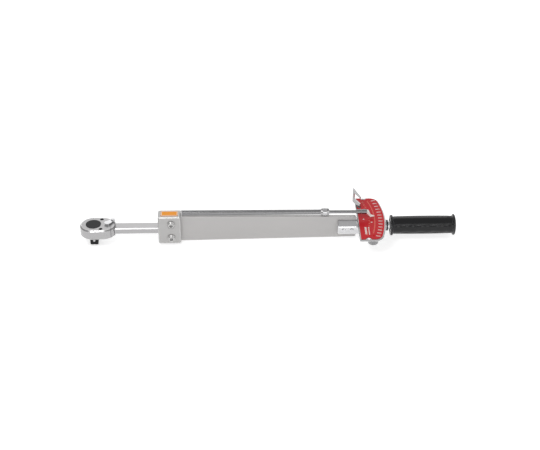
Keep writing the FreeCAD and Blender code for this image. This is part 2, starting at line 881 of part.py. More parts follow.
def make_pointer_tube():
    start = d.lug_thickness + 0.2
    end = d.tube_end - block_end
    inner = d.tube_radius - d.tube_wall
    turned_piece(
        "pointer_tube",
        [(start, inner), (end, inner), (end, d.tube_radius), (start, d.tube_radius)],
    )


def make_pointer_rod():
    start = d.tube_end - block_end - d.rod_insertion
    end = d.sleeve_start + d.sleeve_length / 2 - block_end
    turned_piece("pointer_rod", [(start, 0), (end, 0), (end, d.rod_radius), (start, d.rod_radius)])


def make_zero_collar():
    """The barrel-shaped nut over the end of the tube."""
    centre = d.collar_centre - block_end
    half = d.collar_length / 2
    tube_stop = d.tube_end - block_end + d.working_gap
    rod_bore = d.rod_radius + d.running_gap
    tube_bore = d.tube_radius + d.running_gap
    edge = d.collar_radius - d.collar_crown
    turned_piece(
        "zero_collar",
        [
            (centre - half, tube_bore),
            (centre - half, edge),
            (centre - half * 0.5, d.collar_radius),
            (centre + half * 0.5, d.collar_radius),
            (centre + half, edge),
            (centre + half, rod_bore),
            (tube_stop, rod_bore),
            (tube_stop, tube_bore),
        ],
    )


def make_pointer_sleeve():
    start = d.sleeve_start - block_end
    end = start + d.sleeve_length
    middle = start + d.sleeve_length * 0.45
    bore = d.rod_radius + d.running_gap
    groove = d.sleeve_radius - d.sleeve_groove
    stop = start + d.sleeve_length / 2 + d.running_gap
    turned_piece(
        "pointer_sleeve",
        [
            (start, bore),
            (start, d.sleeve_radius - 0.5),
            (start + 0.5, d.sleeve_radius),
            (middle - 1, d.sleeve_radius),
            (middle - 0.4, groove),
            (middle + 0.4, groove),
            (middle + 1, d.sleeve_radius),
            (end - 1, d.sleeve_radius),
            (end, d.sleeve_radius - 1),
            (end, 0),
            (stop, 0),
            (stop, bore),
        ],
    )


def make_pointer_blade():
    """A bent leaf that leaves the sleeve's end and comes down close over the scale."""
    body = pointer_body("pointer_blade")
    start = d.sleeve_start + d.sleeve_length - block_end + d.running_gap
    end = start + d.blade_reach
    thick = d.blade_thickness
    side = sketch_on(body, "XZ_Plane")
    outline(
        side,
        [
            (start, -d.sleeve_radius * 0.7),
            (start + thick, -d.sleeve_radius * 0.7),
            (start + d.blade_reach * 0.45, -d.blade_drop),
            (end, -d.blade_drop - thick * 0.4),
            (end, -d.blade_drop + thick * 0.6),
            (start + d.blade_reach * 0.55, -d.blade_drop + thick),
            (start + thick * 2, d.sleeve_radius * 0.4),
            (start, d.sleeve_radius * 0.4),
        ],
    )
    pad(body, side, d.blade_width, side="Symmetric")
    trim = sketch_on(body, "XY_Plane")
    half = d.blade_width / 2
    for way in (1, -1):
        tip = 0.3 * way
        outline(
            trim,
            [
                (start + d.blade_reach * 0.5, way * half),
                (end, tip),
                (end + 1, tip),
                (end + 1, way * (half + 1)),
                (start + d.blade_reach * 0.5, way * (half + 1)),
            ],
        )
    pocket(body, trim, FAR, side="Symmetric")


# ---------------------------------------------------------------- handle


def on_axis(label, profile):
    """A round piece on the handle axis. The profile is (place along X, radius) pairs."""
    body = new_body(label, 0, 0, mid)
    sketch = sketch_on(body, "XZ_Plane")
    outline(sketch, profile)
    revolve(body, sketch, "H_Axis")
    return body


def seat_screw_places():
    return [d.seat_screw_first + number * d.seat_screw_spacing for number in range(2)]


def make_handle_socket():
    bore = d.shaft_radius + d.running_gap
    bevel = 1.3
    body = on_axis(
        "handle_socket",
        [
            (d.socket_start, 0),
            (d.socket_start, d.socket_radius - bevel),
            (d.socket_start + bevel, d.socket_radius),
            (d.socket_taper_start, d.socket_radius),
            (d.socket_end, d.socket_end_radius),
            (d.socket_end, bore),
            (d.shaft_start, bore),
            (d.shaft_start, 0),
        ],
    )
    slot = sketch_on(body, "XY_Plane")
    half = d.beam_thickness / 2 + d.running_gap
    rectangle(slot, d.socket_start - 1, -half, d.beam_end + d.working_gap, half)
    pocket(body, slot, FAR, side="Symmetric")
    seat = sketch_on(body, "XZ_Plane")
    rectangle(seat, d.plate_start - 1, d.seat_drop, d.socket_end + 1, d.socket_radius + 1)
    pocket(body, seat, FAR, side="Symmetric")
    for number in range(2):
        hole = sketch_on(body, "XZ_Plane")
        circle(hole, d.pin_first + number * d.pin_spacing, 0, d.pin_radius + d.running_gap)
        pocket(body, hole, FAR, side="Symmetric")
    tapped = sketch_on(body, "XY_Plane", d.seat_drop)
    for x in seat_screw_places():
        circle(tapped, x, 0, d.seat_screw_radius + d.running_gap)
    pocket(body, tapped, d.seat_screw_length - d.plate_thickness + d.running_gap)


def make_socket_pins():
    pieces = []
    for number in range(2):
        pin = doc.addObject("PartDesign::Body", "Pin")
        put(pin, d.pin_first + number * d.pin_spacing, 0, mid, ALONG_Y)
        profile = sketch_on(pin, "XZ_Plane")
        # The round wall falls away from the pin's axis, so the head sits on its nearest point.
        front = -d.socket_radius
        outline(
            profile,
            [
                (0, front - d.pin_head_height),
                (d.pin_head * 0.6, front - d.pin_head_height),
                (d.pin_head, front - d.pin_head_height * 0.3),
                (d.pin_head, front),
                (d.pin_radius, front),
                (d.pin_radius, d.socket_radius),
                (0, d.socket_radius),
            ],
        )
        revolve(pin, profile, "V_Axis")
        pieces.append(pin)
    group("socket_pins", pieces)


def make_handle_shaft():
    start = d.shaft_start + d.running_gap
    shaft = cylinder(d.shaft_radius, shaft_end - start, start, 0, mid, ALONG_X)
    depth = d.shaft_thread_depth
    bore = cylinder(d.shaft_thread, depth + 1, shaft_end - depth, 0, mid, ALONG_X)
    named(joined("Cut", shaft, bore), "handle_shaft")


def sleeve(label, outer, inner, start, length):
    outside = cylinder(outer, length, start, 0, mid, ALONG_X)
    inside = cylinder(inner, length, start, 0, mid, ALONG_X)
    return named(joined("Cut", outside, inside), label)


def make_shaft_collar():
    inner = d.shaft_radius + d.running_gap
    sleeve("shaft_collar", d.shaft_collar_radius, inner, d.shaft_collar_place, d.shaft_collar_length)


def make_grip_core():
    start = d.grip_start + 1
    sleeve("grip_core", d.core_radius, d.shaft_radius + d.running_gap, start, shaft_end - start)


def make_end_screw():
    """The screw and washer that hold the core on the shaft, under the closed end of the grip."""
    shank = d.shaft_thread - d.running_gap
    washer = d.core_radius - 1
    low = shaft_end + 2 * d.running_gap
    seat = low + d.end_washer_thickness
    top = seat + d.end_screw_head_height
    on_axis(
        "end_screw",
        [
            (shaft_end - d.end_screw_length, 0),
            (shaft_end - d.end_screw_length, shank),
            (low, shank),
            (low, washer),
            (seat, washer),
            (seat, d.end_screw_head),
            (top, d.end_screw_head - 0.5),
            (top, 0),
        ],
    )


def make_grip():
    inner = d.core_radius + d.running_gap
    end = d.grip_start + d.grip_length
    first = d.grip_start + d.flange_width
    last = end - d.end_flange_width
    hollow = end - d.grip_end_wall
    on_axis(
        "grip",
        [
            (d.grip_start, inner),
            (d.grip_start, d.flange_radius - 1),
            (d.grip_start + 1, d.flange_radius),
            (first - 0.8, d.flange_radius),
            (first + 0.8, d.grip_radius),
            ((first + last) / 2, d.grip_radius + d.grip_belly),
            (last - 1.2, d.grip_radius),
            (last - 0.2, d.end_flange_radius),
            (end - 2.2, d.end_flange_radius),
            (end - 0.8, d.end_flange_radius * 0.9),
            (end, d.end_flange_radius * 0.7),
            (end, 0),
            (hollow, 0),
            (hollow, inner),
        ],
    )


# ---------------------------------------------------------------- scale

# The plate's curved edge is centred on the beam's virtual hinge, so that is the origin of the
# bodies of the scale.


def scale_body(label, z):
    return new_body(label, d.hinge_place, 0, z)


def plate_outline(sketch, inset):
    """A straight edge nearest the head, two straight sides and an arc about the hinge."""
    near = d.plate_start - d.hinge_place + inset
    half = d.plate_half_width - inset
    outer = d.plate_outer - inset
    corner = root(outer * outer - half * half)
    angle = math.atan2(half.value, corner.value)
    arc = Part.ArcOfCircle(
        Part.Circle(FreeCAD.Vector(0, 0, 0), FreeCAD.Vector(0, 0, 1), outer.value), -angle, angle
    )
    curved = sketch.addGeometry(arc)
    points = [(corner, half), (near, half), (near, -half), (corner, -half)]
    vectors = [FreeCAD.Vector(x.value, y.value, 0) for x, y in points]
    edges = [
        sketch.addGeometry(Part.LineSegment(start, end))
        for start, end in zip(vectors, vectors[1:])
    ]
    sketch.addConstraint(Sketcher.Constraint("Coincident", curved, 2, edges[0], 1))
    sketch.addConstraint(Sketcher.Constraint("Coincident", edges[0], 2, edges[1], 1))
    sketch.addConstraint(Sketcher.Constraint("Coincident", edges[1], 2, edges[2], 1))
    sketch.addConstraint(Sketcher.Constraint("Coincident", edges[2], 2, curved, 1))
    sketch.addConstraint(Sketcher.Constraint("Horizontal", edges[0]))
    sketch.addConstraint(Sketcher.Constraint("Horizontal", edges[2]))
    fix_point(sketch, curved, 3, 0, 0)
    bind(sketch, "Radius", curved, outer)
    fix_point(sketch, edges[1], 1, near, half)
    fix_point(sketch, edges[2], 1, near, -half)


def outer_corner(inset):
    """Picks the two upright edges where the sides meet the arc."""
    near = (d.plate_start - d.hinge_place + inset).value

    def test(edge):
        return along(2)(edge) and edge.BoundBox.XMin > near + 1

    return test


def stud_place():
    return (d.stud_ring * cosine(d.stud_angle), -d.stud_ring * sine(d.stud_angle))


def make_scale_plate():
    body = scale_body("scale_plate", seat_level)
    sketch = sketch_on(body, "XY_Plane")
    plate_outline(sketch, 0)
    pad(body, sketch, d.plate_thickness)
    dress(body, "Fillet", d.plate_corner, outer_corner(0))
    dress(body, "Chamfer", 0.6, at_height(0, d.plate_thickness))
    slot = sketch_on(body, "XY_Plane", d.plate_thickness)
    x, y = stud_place()
    reach = d.stud_radius + d.stud_slot_travel
    # The slot follows the stud's short arc, which is nearly straight, square to its radius.
    width = d.stud_radius + d.running_gap
    corners = [(width, reach), (-width, reach), (-width, -reach), (width, -reach)]
    turned_corners = [turned(corner, -d.stud_angle) for corner in corners]
    outline(slot, [(x + across, y + up) for across, up in turned_corners])
    pocket(body, slot, FAR, side="Symmetric")
    screw_holes = sketch_on(body, "XY_Plane", d.plate_thickness)
    heads = sketch_on(body, "XY_Plane", d.plate_thickness)
    for place in seat_screw_places():
        circle(screw_holes, place - d.hinge_place, 0, d.seat_screw_radius + d.running_gap)
        circle(heads, place - d.hinge_place, 0, d.seat_screw_head + d.running_gap)
    pocket(body, screw_holes, FAR, side="Symmetric")
    pocket(body, heads, d.plate_thickness * 0.6)


def make_guide_ear():
    """An upright fork on the plate's far corner. The pointer swings into its slot."""
    run_x = d.ear_outer_x - d.ear_inner_x
    run_y = d.ear_outer_y - d.ear_inner_y
    length = root(run_x * run_x + run_y * run_y)
    angle = math.degrees(math.atan2(run_y.value, run_x.value))
    turn = FreeCAD.Rotation(FreeCAD.Vector(0, 0, 1), angle)
    body = new_body("guide_ear", d.ear_inner_x, d.ear_inner_y, plate_top, turn)
    side = sketch_on(body, "XZ_Plane")
    outline(side, [(0, 0), (length, 0), (length, d.ear_outer_rise), (0, d.ear_inner_rise)])
    pad(body, side, d.ear_thickness, side="Symmetric")
    lift = pointer_axis - plate_top
    reach = d.sleeve_radius + d.ear_slot_margin
    slot = sketch_on(body, "XZ_Plane")
    droop = 2  # how far the pointer axis has come down where it crosses the ear
    rectangle(slot, -1, lift - droop - reach, length - d.ear_web, lift - droop + reach)
    pocket(body, slot, FAR, side="Symmetric")


def make_scale_face():
    body = scale_body("scale_face", plate_top)
    sketch = sketch_on(body, "XY_Plane")
    plate_outline(sketch, d.rim)
    pad(body, sketch, d.face_thickness)
    dress(body, "Fillet", d.plate_corner - d.rim, outer_corner(d.rim))
    notches = sketch_on(body, "XY_Plane", d.face_thickness)
    for side in (1, -1):
        place = side * (d.plate_half_width - d.rim)
        circle(notches, d.rivet_place - d.hinge_place, place, d.notch_radius)
    pocket(body, notches, FAR, side="Symmetric")
    x, y = stud_place()
    hole = sketch_on(body, "XY_Plane", d.face_thickness)
    circle(hole, x, y, d.stud_radius + d.running_gap)
    pocket(body, hole, FAR, side="Symmetric")
    ear = sketch_on(body, "XY_Plane", d.face_thickness)
    inner = d.ear_inner_x - d.hinge_place
    outer = d.ear_outer_x - d.hinge_place
    margin = d.ear_thickness * 1.4
    past = 2
    outline(
        ear,
        [
            (inner - margin, d.ear_inner_y - past),
            (inner + margin, d.ear_inner_y - past),
            (outer + margin, d.ear_outer_y + past),
            (outer - margin, d.ear_outer_y + past),
        ],
    )
    pocket(body, ear, FAR, side="Symmetric")


def make_face_rivets():
    pieces = []
    for side in (1, -1):
        head = cylinder(
            d.rivet_radius,
            d.rivet_height,
            d.rivet_place,
            side * (d.plate_half_width - d.rim * 1.3),
            plate_top,
        )
        pieces.append(head)
    group("plate_rivets", pieces)


def make_seat_screws():
    pieces = []
    head_height = d.plate_thickness * 0.6
    for place in seat_screw_places():
        head = cylinder(d.seat_screw_head, head_height, place, 0, plate_top - head_height)
        length = d.seat_screw_length - head_height
        shank = cylinder(d.seat_screw_radius, length, place, 0, plate_top - d.seat_screw_length)
        pieces.append(joined("Fuse", head, shank))
    group("seat_screws", pieces)


def make_zero_stud():
    x, y = stud_place()
    head_height = 0.8
    washer = d.knob_washer_thickness + d.running_gap
    length = d.plate_thickness + washer + d.knob_height * 0.8
    head = cylinder(
        d.stud_radius * 1.6, head_height, d.hinge_place + x, y, face_top
    )
    shank = cylinder(
        d.stud_radius,
        length + d.face_thickness,
        d.hinge_place + x,
        y,
        seat_level - length + d.plate_thickness,
    )
    named(joined("Fuse", head, shank), "zero_stud")


def make_knob_washer():
    x, y = stud_place()
    low = seat_level - d.knob_washer_thickness - d.running_gap
    place = (d.hinge_place + x, y, low)
    outer = cylinder(d.knob_washer, d.knob_washer_thickness, *place)
    inner = cylinder(d.stud_radius + d.running_gap, d.knob_washer_thickness, *place)
    named(joined("Cut", outer, inner), "knob_washer")


def make_zero_knob():
    x, y = stud_place()
    top = seat_level - d.knob_washer_thickness - 2 * d.running_gap
    body = new_body("zero_knob", d.hinge_place + x, y, top - d.knob_height)
    disc = sketch_on(body, "XY_Plane")
    circle(disc, 0, 0, d.knob_radius)
    pad(body, disc, d.knob_height)
    dress(body, "Chamfer", 0.8, at_height(0, d.knob_height))
    bore = sketch_on(body, "XY_Plane", d.knob_height)
    circle(bore, 0, 0, d.stud_radius + d.running_gap)
    pocket(body, bore, FAR, side="Symmetric")
    flute = sketch_on(body, "XY_Plane", d.knob_height)
    circle(flute, d.knob_radius + d.flute_radius / 3, 0, d.flute_radius)
    cut = pocket(body, flute, d.knob_height)
    polar(body, cut, d.knob_flutes)


# ---------------------------------------------------------------- build, check and write


def build_all():
    make_ratchet_housing()
    make_cover_plate()
    make_cover_screws()
    make_drive_spindle()
    make_ball_detent()
    make_wave_washer()
    make_pawl()
    make_reversing_lever()
    make_clamp_block()
    make_block_dowel()
    make_clamp_screws()
    make_label_plate()
    make_spring_beam()
    make_pointer_anchor()
    make_pointer_tube()
    make_pointer_rod()
    make_zero_collar()
    make_pointer_sleeve()
    make_pointer_blade()
    make_handle_socket()
    make_socket_pins()
    make_handle_shaft()
    make_shaft_collar()
    make_grip_core()
    make_end_screw()
    make_grip()
    make_scale_plate()
    make_guide_ear()
    make_scale_face()
    make_face_rivets()
    make_seat_screws()
    make_zero_stud()
    make_knob_washer()
    make_zero_knob()


def check_all():
    doc.recompute()
    faults = []
    for thing in doc.Objects:
        if "Invalid" in thing.State or "Error" in thing.State:
            faults.append(f"{thing.Label} ({thing.Name}) is {thing.State}")
    for thing in PARTS:
        shape = thing.Shape
        if shape.isNull() or not shape.isValid() or not shape.Solids:
            faults.append(f"{thing.Label} has no valid solid")
    if faults:
        raise RuntimeError("; ".join(faults))


def write_all():
    os.makedirs("parts", exist_ok=True)
    for thing in PARTS:
        thing.Shape.exportStep(f"parts/{thing.Label}.step")
        print(thing.Label, len(thing.Shape.Solids), round(thing.Shape.Volume, 1))


build_all()
check_all()
write_all()
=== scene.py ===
"""Looks of a beam torque wrench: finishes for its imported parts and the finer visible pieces."""

import enum
import json
import logging
import math
from dataclasses import dataclass, field

import bmesh
import bpy
from mathutils import Matrix, Vector

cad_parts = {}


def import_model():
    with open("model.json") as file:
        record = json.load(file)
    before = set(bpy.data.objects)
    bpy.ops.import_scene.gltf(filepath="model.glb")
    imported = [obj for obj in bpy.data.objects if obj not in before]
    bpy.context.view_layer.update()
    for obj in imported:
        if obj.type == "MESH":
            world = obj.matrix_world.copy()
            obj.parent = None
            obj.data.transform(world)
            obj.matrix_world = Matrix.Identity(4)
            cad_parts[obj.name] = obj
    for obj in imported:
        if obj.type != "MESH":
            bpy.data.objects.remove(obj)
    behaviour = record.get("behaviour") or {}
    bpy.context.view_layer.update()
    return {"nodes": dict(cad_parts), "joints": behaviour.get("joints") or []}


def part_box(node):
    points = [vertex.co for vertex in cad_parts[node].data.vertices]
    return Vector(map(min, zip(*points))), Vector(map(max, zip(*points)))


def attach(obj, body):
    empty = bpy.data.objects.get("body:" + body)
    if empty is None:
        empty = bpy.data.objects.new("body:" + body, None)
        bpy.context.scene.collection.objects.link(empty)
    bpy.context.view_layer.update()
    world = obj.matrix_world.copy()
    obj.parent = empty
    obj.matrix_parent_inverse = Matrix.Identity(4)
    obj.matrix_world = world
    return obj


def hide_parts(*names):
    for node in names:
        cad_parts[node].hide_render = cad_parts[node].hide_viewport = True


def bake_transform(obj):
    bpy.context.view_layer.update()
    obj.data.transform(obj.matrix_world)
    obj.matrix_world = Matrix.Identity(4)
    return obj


LOG = logging.getLogger("torque_wrench")
MM = 0.001
Colour = tuple[float, float, float]
DUST_TINT: Colour = (0.62, 0.6, 0.57)
SEAM_TINT: Colour = (0.02, 0.02, 0.022)
SEAM_HALF_WIDTH = 0.35 * MM
SEAM_STRENGTH = 0.75
WEAR_AND_SHEEN_RADIUS = 0.9 * MM
COAT_ROUGHNESS = 0.08
MOTTLE_ROUGHNESS = 0.12
MOTTLE_SHIFT = 0.05
BUMP_STRENGTH = 0.25
BUMP_DISTANCE = 0.1 * MM


# ------------------------------------------------------------------ node helpers


def add_node(tree: bpy.types.NodeTree, kind: str, **settings: object) -> bpy.types.Node:
    """Add a node to a tree.

    Args:
        tree: The shader or geometry tree.
        kind: The node's class name.
        settings: Attributes to set on the node.

    Returns:
        The new node.
    """
    node = tree.nodes.new(kind)
    for name, value in settings.items():
        setattr(node, name, value)
    return node


def feed(tree: bpy.types.NodeTree, source: object, target: bpy.types.NodeSocket) -> None:
    """Link a socket to a target, or set the target to a plain value.

    Args:
        tree: The tree to build in.
        source: A socket or a plain value.
        target: The socket to feed.
    """
    if isinstance(source, bpy.types.NodeSocket):
        tree.links.new(source, target)
    else:
        target.default_value = source


def maths(
    tree: bpy.types.NodeTree, operation: str, first: object, second: object = 0.0
) -> bpy.types.NodeSocket:
    """Join two values by a Math node.

    Args:
        tree: The tree to build in.
        operation: The Math node's operation.
        first: A socket or a number.
        second: A socket or a number.

    Returns:
        The result's socket.
    """
    node = add_node(tree, "ShaderNodeMath", operation=operation)
    feed(tree, first, node.inputs[0])
    feed(tree, second, node.inputs[1])
    return node.outputs[0]


def blend_colours(
    tree: bpy.types.NodeTree, factor: object, first: object, second: object
) -> bpy.types.NodeSocket:
    """Mix two colours by a factor.

    Args:
        tree: The shader tree.
        factor: A socket or a number; 1 shows the second colour.
        first: A socket or a colour.
        second: A socket or a colour.

    Returns:
        The mixed colour's socket.
    """
    node = add_node(tree, "ShaderNodeMix", data_type="RGBA")
    feed(tree, factor, node.inputs[0])
    feed(tree, first if isinstance(first, bpy.types.NodeSocket) else (*first, 1.0), node.inputs[6])
    feed(tree, second if isinstance(second, bpy.types.NodeSocket) else (*second, 1.0), node.inputs[7])
    return node.outputs[2]


def object_noise(
    tree: bpy.types.NodeTree,
    scale: float,
    stretch: tuple[float, float, float] = (1, 1, 1),
    detail: float = 3.0,
) -> bpy.types.NodeSocket:
    """Noise in the object's own coordinates.

    Args:
        tree: The shader tree.
        scale: Features per metre.
        stretch: Scale of each axis; a small number draws the noise out along it.
        detail: Octaves of the noise.

    Returns:
        The noise value's socket.
    """
    place = add_node(tree, "ShaderNodeTexCoord")
    mapping = add_node(tree, "ShaderNodeMapping")
    mapping.inputs["Scale"].default_value = stretch
    noise = add_node(tree, "ShaderNodeTexNoise")
    noise.inputs["Scale"].default_value = scale
    noise.inputs["Detail"].default_value = detail
    tree.links.new(place.outputs["Object"], mapping.inputs["Vector"])
    tree.links.new(mapping.outputs["Vector"], noise.inputs["Vector"])
    return noise.outputs["Fac"]


def group_tree(name: str, inputs: dict[str, float], outputs: tuple[str, ...]) -> bpy.types.NodeTree:
    """A shader node group with number inputs and outputs.

    Args:
        name: The group's name.
        inputs: Input names and their defaults.
        outputs: Output names.

    Returns:
        The group's tree, with its input and output nodes named "in" and "out".
    """
    tree = bpy.data.node_groups.new(name, "ShaderNodeTree")
    for label, value in inputs.items():
        socket = tree.interface.new_socket(label, in_out="INPUT", socket_type="NodeSocketFloat")
        socket.default_value = value
    for label in outputs:
        tree.interface.new_socket(label, in_out="OUTPUT", socket_type="NodeSocketFloat")
    add_node(tree, "NodeGroupInput", name="in")
    add_node(tree, "NodeGroupOutput", name="out")
    return tree


class SharedEffects:
    """Shader groups that several finishes use."""

    def __init__(self) -> None:
        """Build every group once."""
        self.wear = self.build_edge_wear()
        self.grain = self.build_grain()
        self.dust = self.build_dust()

    def build_edge_wear(self) -> bpy.types.NodeTree:
        """Edge wear and painted sheen: a mask that is 1 along convex edges, where a finish lays its edge
        colour; rubbed metal on the steels, a painted highlight on the vinyl grip.

        Returns:
            The group's tree.
        """
        tree = group_tree("edge_wear_and_sheen", {"Radius": 0.001, "Amount": 1.0}, ("Mask",))
        bevel = add_node(tree, "ShaderNodeBevel", samples=4)
        geometry = add_node(tree, "ShaderNodeNewGeometry")
        dot = add_node(tree, "ShaderNodeVectorMath", operation="DOT_PRODUCT")
        tree.links.new(tree.nodes["in"].outputs["Radius"], bevel.inputs["Radius"])
        tree.links.new(bevel.outputs["Normal"], dot.inputs[0])
        tree.links.new(geometry.outputs["Normal"], dot.inputs[1])
        turn = maths(tree, "SUBTRACT", 1.0, dot.outputs["Value"])
        rub_and_sheen = maths(tree, "MULTIPLY", turn, maths(tree, "ADD", object_noise(tree, 240.0), 0.25))
        scaled = maths(tree, "MULTIPLY", rub_and_sheen, tree.nodes["in"].outputs["Amount"])
        limited = maths(tree, "MINIMUM", maths(tree, "MULTIPLY", scaled, 6.0), 1.0)
        tree.links.new(limited, tree.nodes["out"].inputs["Mask"])
        return tree

    def build_grain(self) -> bpy.types.NodeTree:
        """Fine ground lines along X, as a height and a slow mottle.

        Returns:
            The group's tree.
        """
        tree = group_tree("ground_grain", {"Depth": 1.0}, ("Height", "Mottle"))
        lines = object_noise(tree, 900.0, (0.03, 1.0, 1.0), 4.0)
        height = maths(tree, "MULTIPLY", lines, tree.nodes["in"].outputs["Depth"])
        tree.links.new(height, tree.nodes["out"].inputs["Height"])
        tree.links.new(object_noise(tree, 26.0, (0.4, 1.0, 1.0)), tree.nodes["out"].inputs["Mottle"])
        return tree

    def build_dust(self) -> bpy.types.NodeTree:
        """A faint film that settles on faces that look up.

        Returns:
            The group's tree.
        """
        tree = group_tree("settled_dust", {"Amount": 0.2}, ("Mask",))
        geometry = add_node(tree, "ShaderNodeNewGeometry")
        parts = add_node(tree, "ShaderNodeSeparateXYZ")
        tree.links.new(geometry.outputs["Normal"], parts.inputs[0])
        up = maths(tree, "MAXIMUM", parts.outputs["Z"], 0.0)
        patch = maths(tree, "MULTIPLY", up, object_noise(tree, 60.0))
        film = maths(tree, "MULTIPLY", patch, tree.nodes["in"].outputs["Amount"])
        tree.links.new(film, tree.nodes["out"].inputs["Mask"])
        return tree


# ------------------------------------------------------------------ finishes


def use_group(tree: bpy.types.NodeTree, group: bpy.types.NodeTree, **values: float) -> bpy.types.Node:
    """Place a shared group in a material with its own input values.

    Args:
        tree: The material's tree.
        group: The shared group.
        values: The group's inputs by name.

    Returns:
        The group's node.
    """
    node = add_node(tree, "ShaderNodeGroup", node_tree=group)
    for name, value in values.items():
        node.inputs[name].default_value = value
    return node


@dataclass(frozen=True)
class Finish:
    """One surface finish: a base, its edge colour and how rough and how metallic it is."""

    name: str
    base: Colour
    # Edge colour on convex edges: rubbed metal on the steels, a painted highlight on the black vinyl.
    edge: Colour
    roughness: float
    metallic: float
    grain_depth: float = 0.0
    variation: float = 0.06
    wear: float = 0.6
    coat: float = 0.0
    dust: float = 0.06
    bump: float = 0.04
    bump_scale: float = 700.0
    specular: float = 0.5
    seams: tuple[float, ...] = ()

    def make(self, effects: SharedEffects) -> bpy.types.Material:
        """Build the finish as a material.

        Args:
            effects: The shared shader groups.

        Returns:
            The material.
        """
        material = bpy.data.materials.new(self.name)
        material.use_nodes = True
        tree = material.node_tree
        shader = tree.nodes["Principled BSDF"]
        shader.inputs["Metallic"].default_value = self.metallic
        shader.inputs["Coat Weight"].default_value = self.coat
        shader.inputs["Coat Roughness"].default_value = COAT_ROUGHNESS
        shader.inputs["Specular IOR Level"].default_value = self.specular
        grain = use_group(tree, effects.grain, Depth=1.0)
        wear = use_group(tree, effects.wear, Radius=WEAR_AND_SHEEN_RADIUS, Amount=self.wear)
        dust = use_group(tree, effects.dust, Amount=self.dust)
        darker = tuple(channel * (1.0 - self.variation * 2) for channel in self.base)
        mottled = blend_colours(tree, grain.outputs["Mottle"], darker, self.base)
        # Convex edges take the edge colour: rubbed metal on the steels, a painted highlight on the vinyl
        # grip.
        edge_worn_and_sheen = blend_colours(tree, wear.outputs["Mask"], mottled, self.edge)
        dusty = blend_colours(tree, dust.outputs["Mask"], edge_worn_and_sheen, DUST_TINT)
        if self.seams:
            dusty = blend_colours(tree, self.seam_mask(tree), dusty, SEAM_TINT)
        tree.links.new(dusty, shader.inputs["Base Color"])
        spread = maths(tree, "MULTIPLY", grain.outputs["Mottle"], MOTTLE_ROUGHNESS)
        rough = maths(tree, "ADD", spread, self.roughness - MOTTLE_SHIFT)
        tree.links.new(maths(tree, "ADD", rough, dust.outputs["Mask"]), shader.inputs["Roughness"])
        bump = add_node(tree, "ShaderNodeBump")
        bump.inputs["Strength"].default_value = BUMP_STRENGTH
        bump.inputs["Distance"].default_value = BUMP_DISTANCE
        fine = maths(tree, "MULTIPLY", object_noise(tree, self.bump_scale), self.bump)
        lines = maths(tree, "MULTIPLY", grain.outputs["Height"], self.grain_depth)
        tree.links.new(maths(tree, "ADD", fine, lines), bump.inputs["Height"])
        tree.links.new(bump.outputs["Normal"], shader.inputs["Normal"])
        return material

    def seam_mask(self, tree: bpy.types.NodeTree) -> bpy.types.NodeSocket:
        """A mask for the thin joint lines across X.

        Args:
            tree: The material's tree.

        Returns:
            The mask's socket.
        """
        place = add_node(tree, "ShaderNodeTexCoord")
        parts = add_node(tree, "ShaderNodeSeparateXYZ")
        tree.links.new(place.outputs["Object"], parts.inputs[0])
        mask: object = 0.0
        for seam in self.seams:
            apart = maths(tree, "ABSOLUTE", maths(tree, "SUBTRACT", parts.outputs["X"], seam))
            mask = maths(tree, "MAXIMUM", mask, maths(tree, "LESS_THAN", apart, SEAM_HALF_WIDTH))
        return maths(tree, "MULTIPLY", mask, SEAM_STRENGTH)


